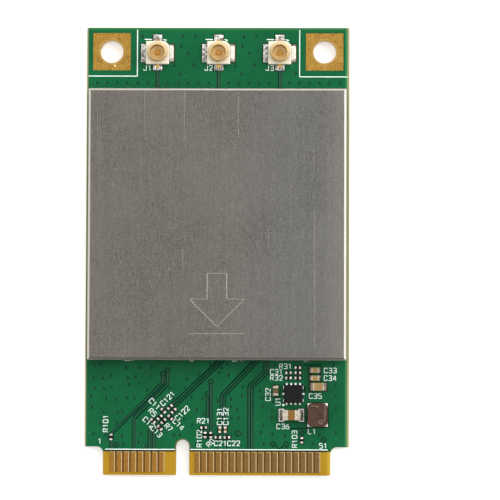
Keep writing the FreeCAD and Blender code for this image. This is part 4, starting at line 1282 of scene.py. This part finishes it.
def regulator_solder():
    """Solder at the regulator's terminals."""
    fillets = []
    chip = (CHIP_LOW + CHIP_HIGH) / 2
    for step in range(TERMINALS_A_ROW):
        x = chip.x + (step - (TERMINALS_A_ROW - 1) / 2) * TERMINAL_PITCH
        for y in (CHIP_LOW.y - TERMINAL_ROW_REACH, CHIP_HIGH.y + TERMINAL_ROW_REACH):
            fillets.append(on_board(x, y, *TERMINAL_ROW_SOLDER))
    for x in (CHIP_LOW.x - TERMINAL_SIDE_REACH, CHIP_HIGH.x + TERMINAL_SIDE_REACH):
        fillets.append(on_board(x, chip.y, *TERMINAL_SIDE_SOLDER))
    return fillets, []


def inductor_solder():
    """Solder and lands at the inductor's corners."""
    low, high = CORE_LOW + CORE_CORNER_INSET, CORE_HIGH - CORE_CORNER_INSET
    places = [(x, y) for x in (low.x, high.x) for y in (low.y, high.y)]
    fillets = [on_board(x, y, *CORE_SOLDER) for x, y in places]
    lands = [on_board(x, y, *CORE_LAND) for x, y in places]
    return fillets, lands


def output_solder():
    """The wide lands of the output capacitor with their thick solder."""
    y = (OUTPUT_LOW.y + OUTPUT_HIGH.y) / 2
    sides = (OUTPUT_LOW.x - OUTPUT_REACH, OUTPUT_HIGH.x + OUTPUT_REACH)
    fillets = [on_board(x, y, *OUTPUT_SOLDER) for x in sides]
    lands = [on_board(x, y, *OUTPUT_LAND) for x in sides]
    return fillets, lands


def foot_solder():
    """Solder that shows under the lower wall of the shield."""
    foot = COVER_LOW.y - FOOT_REACH
    return [on_board(x, foot, 2 * half, FOOT_DEPTH, FOOT_HEIGHT) for x, half in FOOT_SOLDER], []


def mask_openings_and_shade(lands):
    """Dark outlines of bare laminate where the mask stands back from the lands and the power parts, dark
    enough to be painted shade round the parts as well.
    """
    openings = []
    for middle, (width, depth, _), turn in lands:
        grown = (width + OPENING_MARGIN, depth + OPENING_MARGIN, OPENING_THICK)
        openings.append((middle, grown, turn))
    for node in SMALL_ENDS:
        for points, outward in chip_ends(node):
            middle = sum(points, Vector()) / len(points) - outward * SMALL_OPENING_SETBACK
            openings.append(on_board(*middle.xy, *SMALL_OPENING, OPENING_THICK, bearing(outward)))
    for low, high in ((CHIP_LOW, CHIP_HIGH), (CORE_LOW, CORE_HIGH)):
        middle = (low + high) / 2
        grown = high - low + Vector((OPENING_MARGIN, OPENING_MARGIN, 0))
        openings.append(on_board(*middle.xy, *grown.xy, OPENING_THICK))
    make_piece("mask_openings_and_shade", spot_source(openings), PLATES, "board", Finish=MASK_OPENING_AND_SHADE)


def solder():
    """All the solder, the tinned lands, and the mask openings round them with their painted shade."""
    small_chips = chip_fillets(SMALL_ENDS, SMALL_TOE_SHARE)
    large_chips = chip_fillets(LARGE_ENDS, LARGE_TOE_SHARE)
    tails = round_receptacles(TAIL_SOLDER, TAIL_LANDS)
    right_tails = round_receptacles(RIGHT_TAIL_SOLDER, RIGHT_TAIL_LANDS)
    flux = round_receptacles(RIGHT_TAIL_FLUX, [])
    jobs = {
        "bright": (BRIGHT_SOLDER, TIN, (regulator_solder(), inductor_solder())),
        "small": (SMALL_TIN, DULL_TIN, (small_chips,)),
        # The right tails take the brighter tinned solder and the left ones the plain solder: painted light
        # from the right.
        "tail": (TIN, DULL_TIN, (right_tails,)),
        "fluxed": (FLUXED_SOLDER, DULL_TIN, (large_chips, flux)),
        "framed": (FLUXED_SOLDER, TIN, (output_solder(),)),
        "plain": (SOLDER, TIN, (tails, foot_solder())),
    }
    all_lands = []
    for kind, (solder_finish, land_finish, made) in jobs.items():
        fillets = [spot for part in made for spot in part[0]]
        lands = [spot for part in made for spot in part[1]]
        make_piece(f"{kind}_solder", spot_source(fillets), PILLOWS, "tinned_metal", Finish=solder_finish)
        make_piece(f"{kind}_lands", spot_source(lands), PLATES, "tinned_metal", Finish=land_finish)
        all_lands.extend(lands)
    mask_openings_and_shade(all_lands)
    painted_plating_highlights()


# Etched sign on the shield, marks of handling, and marks on the inductor's core

ETCH_WIDTH = 0.10
ETCH_PROUD = 0.0015
ARROW = [
    (-1.1, -2.7),
    (1.1, -2.7),
    (1.1, -5.6),
    (3.1, -5.6),
    (0.0, -8.7),
    (-3.1, -5.6),
    (-1.1, -5.6),
    (-1.1, -2.7),
]
ARROW_BAR = [(-3.1, -9.5), (3.1, -9.5)]
HAIR_WIDTH = 0.04
HAIR_PROUD = 0.001
HAIR_SCRATCHES = [
    [(-3.75, 17.8), (-3.78, 12.2)],
    [(2.34, 17.8), (2.36, 12.9)],
    [(-3.87, 0.26), (-3.85, -2.57)],
    [(5.77, 2.50), (5.80, 0.26)],
    [(10.90, 10.8), (10.92, 8.9)],
    [(10.96, 4.40), (11.00, -11.06)],
    [(7.90, 14.75), (8.02, 14.95)],
]
# A pale line near the core's upper edge, and a pale line down its right side that is a painted highlight.
CORE_LINE_AND_HIGHLIGHT = [
    [(-0.80, 1.02), (0.02, 0.98), (-0.06, 0.80)],
    [(0.84, 1.16), (0.86, 0.20), (0.76, -0.75)],
]
CORE_RING_SHIFT = Vector((0.33, -0.79, 0))
CORE_RING_RADIUS = 0.20
CORE_RING_STEPS = 16
CORE_MARK_WIDTH = 0.07
LAND_SCRATCH = [(0.26, -1.50), (0.40, -1.76)]
SCRATCH_WIDTH = 0.11
MARK_PROUD = 0.003


def etched_sign():
    """An etched arrow on the shield that points the way the card is pushed in, towards its contacts."""
    strips("etched_arrow", [ARROW, ARROW_BAR], COVER_HIGH.z, ETCH_WIDTH, ETCH_PROUD, ETCH, "cover_sheet")


def cover_scratches():
    """Hair scratches drawn down the cover in handling."""
    strips("cover_scratches", HAIR_SCRATCHES, COVER_HIGH.z, HAIR_WIDTH, HAIR_PROUD, HAIR, "cover_sheet")


def core_marks_and_highlight():
    """The round polarity mark on the inductor's core, a pale line near its upper edge, and a pale line down
    its right side that is a painted highlight of the edge.
    """
    middle = (CORE_LOW + CORE_HIGH) / 2
    turns = [math.tau * step / CORE_RING_STEPS for step in range(CORE_RING_STEPS)]
    ring = [(CORE_RING_RADIUS * math.cos(turn), CORE_RING_RADIUS * math.sin(turn)) for turn in turns]
    paths = [moved(line, middle) for line in CORE_LINE_AND_HIGHLIGHT]
    paths.append(moved([*ring, ring[0]], middle + CORE_RING_SHIFT))
    strips("core_marks_and_highlight", paths, CORE_HIGH.z, CORE_MARK_WIDTH, MARK_PROUD, CORE_MARK, "ferrite")


def land_scratch():
    """A bright scratch beside the left screw hole."""
    path = moved(LAND_SCRATCH, Vector((-HOLE_CENTRE.x, HOLE_CENTRE.y)))
    strips("land_scratch", [path], LAND_HIGH.z, SCRATCH_WIDTH, MARK_PROUD, BRIGHT_SCRATCH, "gold_plating")


# Floor, light and camera

FLOOR_SIDE = 4.0
FLOOR_DROP = 0.00003
FLOOR_DARK = (0.88, 0.88, 0.88, 1.0)
FLOOR_LIGHT = (0.91, 0.91, 0.91, 1.0)
FLOOR_GLOW = 0.32
FLOOR_PATCH_MM = 200.0
WHITE = (1.0, 1.0, 1.0, 1.0)
ZENITH_GLOW = 0.62
WALL_GLOW = 2.60
WALL_FADE = (0.95, 0.35)
FAR_FADE = (-0.75, 0.10)
NEAR_FADE = (-0.15, -0.60)
NEAR_SHARE = 0.28
WEST_SHARE = 0.70
CAMERA_DISTANCE = 0.350
CAMERA_TARGET = Vector((0.0036874, 0.0000820, 0.001))
CAMERA_TILT = 3.1599
CAMERA_PAN = 0.9130
CAMERA_ROLL = 0.1530
CAMERA_LENS = 222.36
SENSOR = 36.0


def pale_floor():
    """A plain pale floor under the card."""
    half = FLOOR_SIDE / 2
    mesh = bpy.data.meshes.new("floor")
    ring = [(-half, -half), (half, -half), (half, half), (-half, half)]
    mesh.from_pydata([(x, y, -FLOOR_DROP) for x, y in ring], [], [(0, 1, 2, 3)])
    floor = bpy.data.objects.new("floor", mesh)
    bpy.context.scene.collection.objects.link(floor)
    glow = {"Emission_Color": WHITE, "Emission_Strength": FLOOR_GLOW}
    material, tree = new_finish("floor_paper", Roughness=0.9, Specular_IOR_Level=0.0, **glow)
    patches = use(tree, MOTTLE, Patch=FLOOR_PATCH_MM, Detail=2.0)
    paper = tint(tree, patches, FLOOR_DARK, FLOOR_LIGHT)
    tree.links.new(paper, tree.nodes["Principled BSDF"].inputs["Base Color"])
    mesh.materials.append(material)


def softbox(name, stand, width, height, power, shiny):
    """A soft rectangular light aimed at the card, which its shiny surfaces may mirror or not."""
    light = bpy.data.lights.new(name, "AREA")
    light.shape = "RECTANGLE"
    light.size = width
    light.size_y = height
    light.energy = power
    lamp = bpy.data.objects.new(name, light)
    lamp.visible_glossy = shiny
    lamp.location = stand
    lamp.rotation_mode = "QUATERNION"
    lamp.rotation_quaternion = (-Vector(stand)).to_track_quat("-Z", "Y")
    bpy.context.scene.collection.objects.link(lamp)


def studio_light():
    """A tent of soft light, darker overhead and on the near side and brightest on the right."""
    world = bpy.data.worlds.new("studio")
    world.use_nodes = True
    tree = world.node_tree
    direction = put(tree, "ShaderNodeTexCoord").outputs["Generated"]
    east, north, up = put(tree, "ShaderNodeSeparateXYZ", {0: direction}).outputs
    walls = calc(tree, "MULTIPLY", fade(tree, up, *WALL_FADE), fade(tree, north, *FAR_FADE))
    sideways = between(tree, fade(tree, east, -1.0, 1.0), WEST_SHARE, 1.0)
    glow = between(tree, calc(tree, "MULTIPLY", walls, sideways), ZENITH_GLOW, WALL_GLOW)
    near = between(tree, fade(tree, north, *NEAR_FADE), 1.0, NEAR_SHARE)
    background = tree.nodes["Background"].inputs
    tree.links.new(calc(tree, "MULTIPLY", near, glow), background["Strength"])
    background["Color"].default_value = WHITE
    bpy.context.scene.world = world
    softbox("right_panel", (0.55, 0.25, 0.40), width=0.5, height=0.6, power=2.6, shiny=True)
    softbox("overhead_panel", (0.0, -0.12, 0.9), width=0.9, height=0.9, power=2.5, shiny=False)
    bpy.context.scene.view_settings.view_transform = "Standard"


def camera():
    """The camera at the photograph's place, looking almost straight down on the card."""
    turn = (
        Matrix.Rotation(math.radians(CAMERA_TILT), 4, "X")
        @ Matrix.Rotation(math.radians(CAMERA_PAN), 4, "Y")
        @ Matrix.Rotation(math.radians(CAMERA_ROLL), 4, "Z")
    )
    lens = bpy.data.cameras.new("camera")
    lens.lens = CAMERA_LENS
    lens.sensor_width = SENSOR
    lens.clip_start = 0.01
    lens.clip_end = 20.0
    holder = bpy.data.objects.new("camera", lens)
    back = turn @ Vector((0, 0, CAMERA_DISTANCE))
    holder.matrix_world = Matrix.Translation(CAMERA_TARGET + back) @ turn
    bpy.context.scene.collection.objects.link(holder)
    bpy.context.scene.camera = holder


finish_cad_nodes()
copper = copper_lines()
vias(copper)
white_print()
solder()
etched_sign()
cover_scratches()
core_marks_and_highlight()
land_scratch()
pale_floor()
studio_light()
camera()
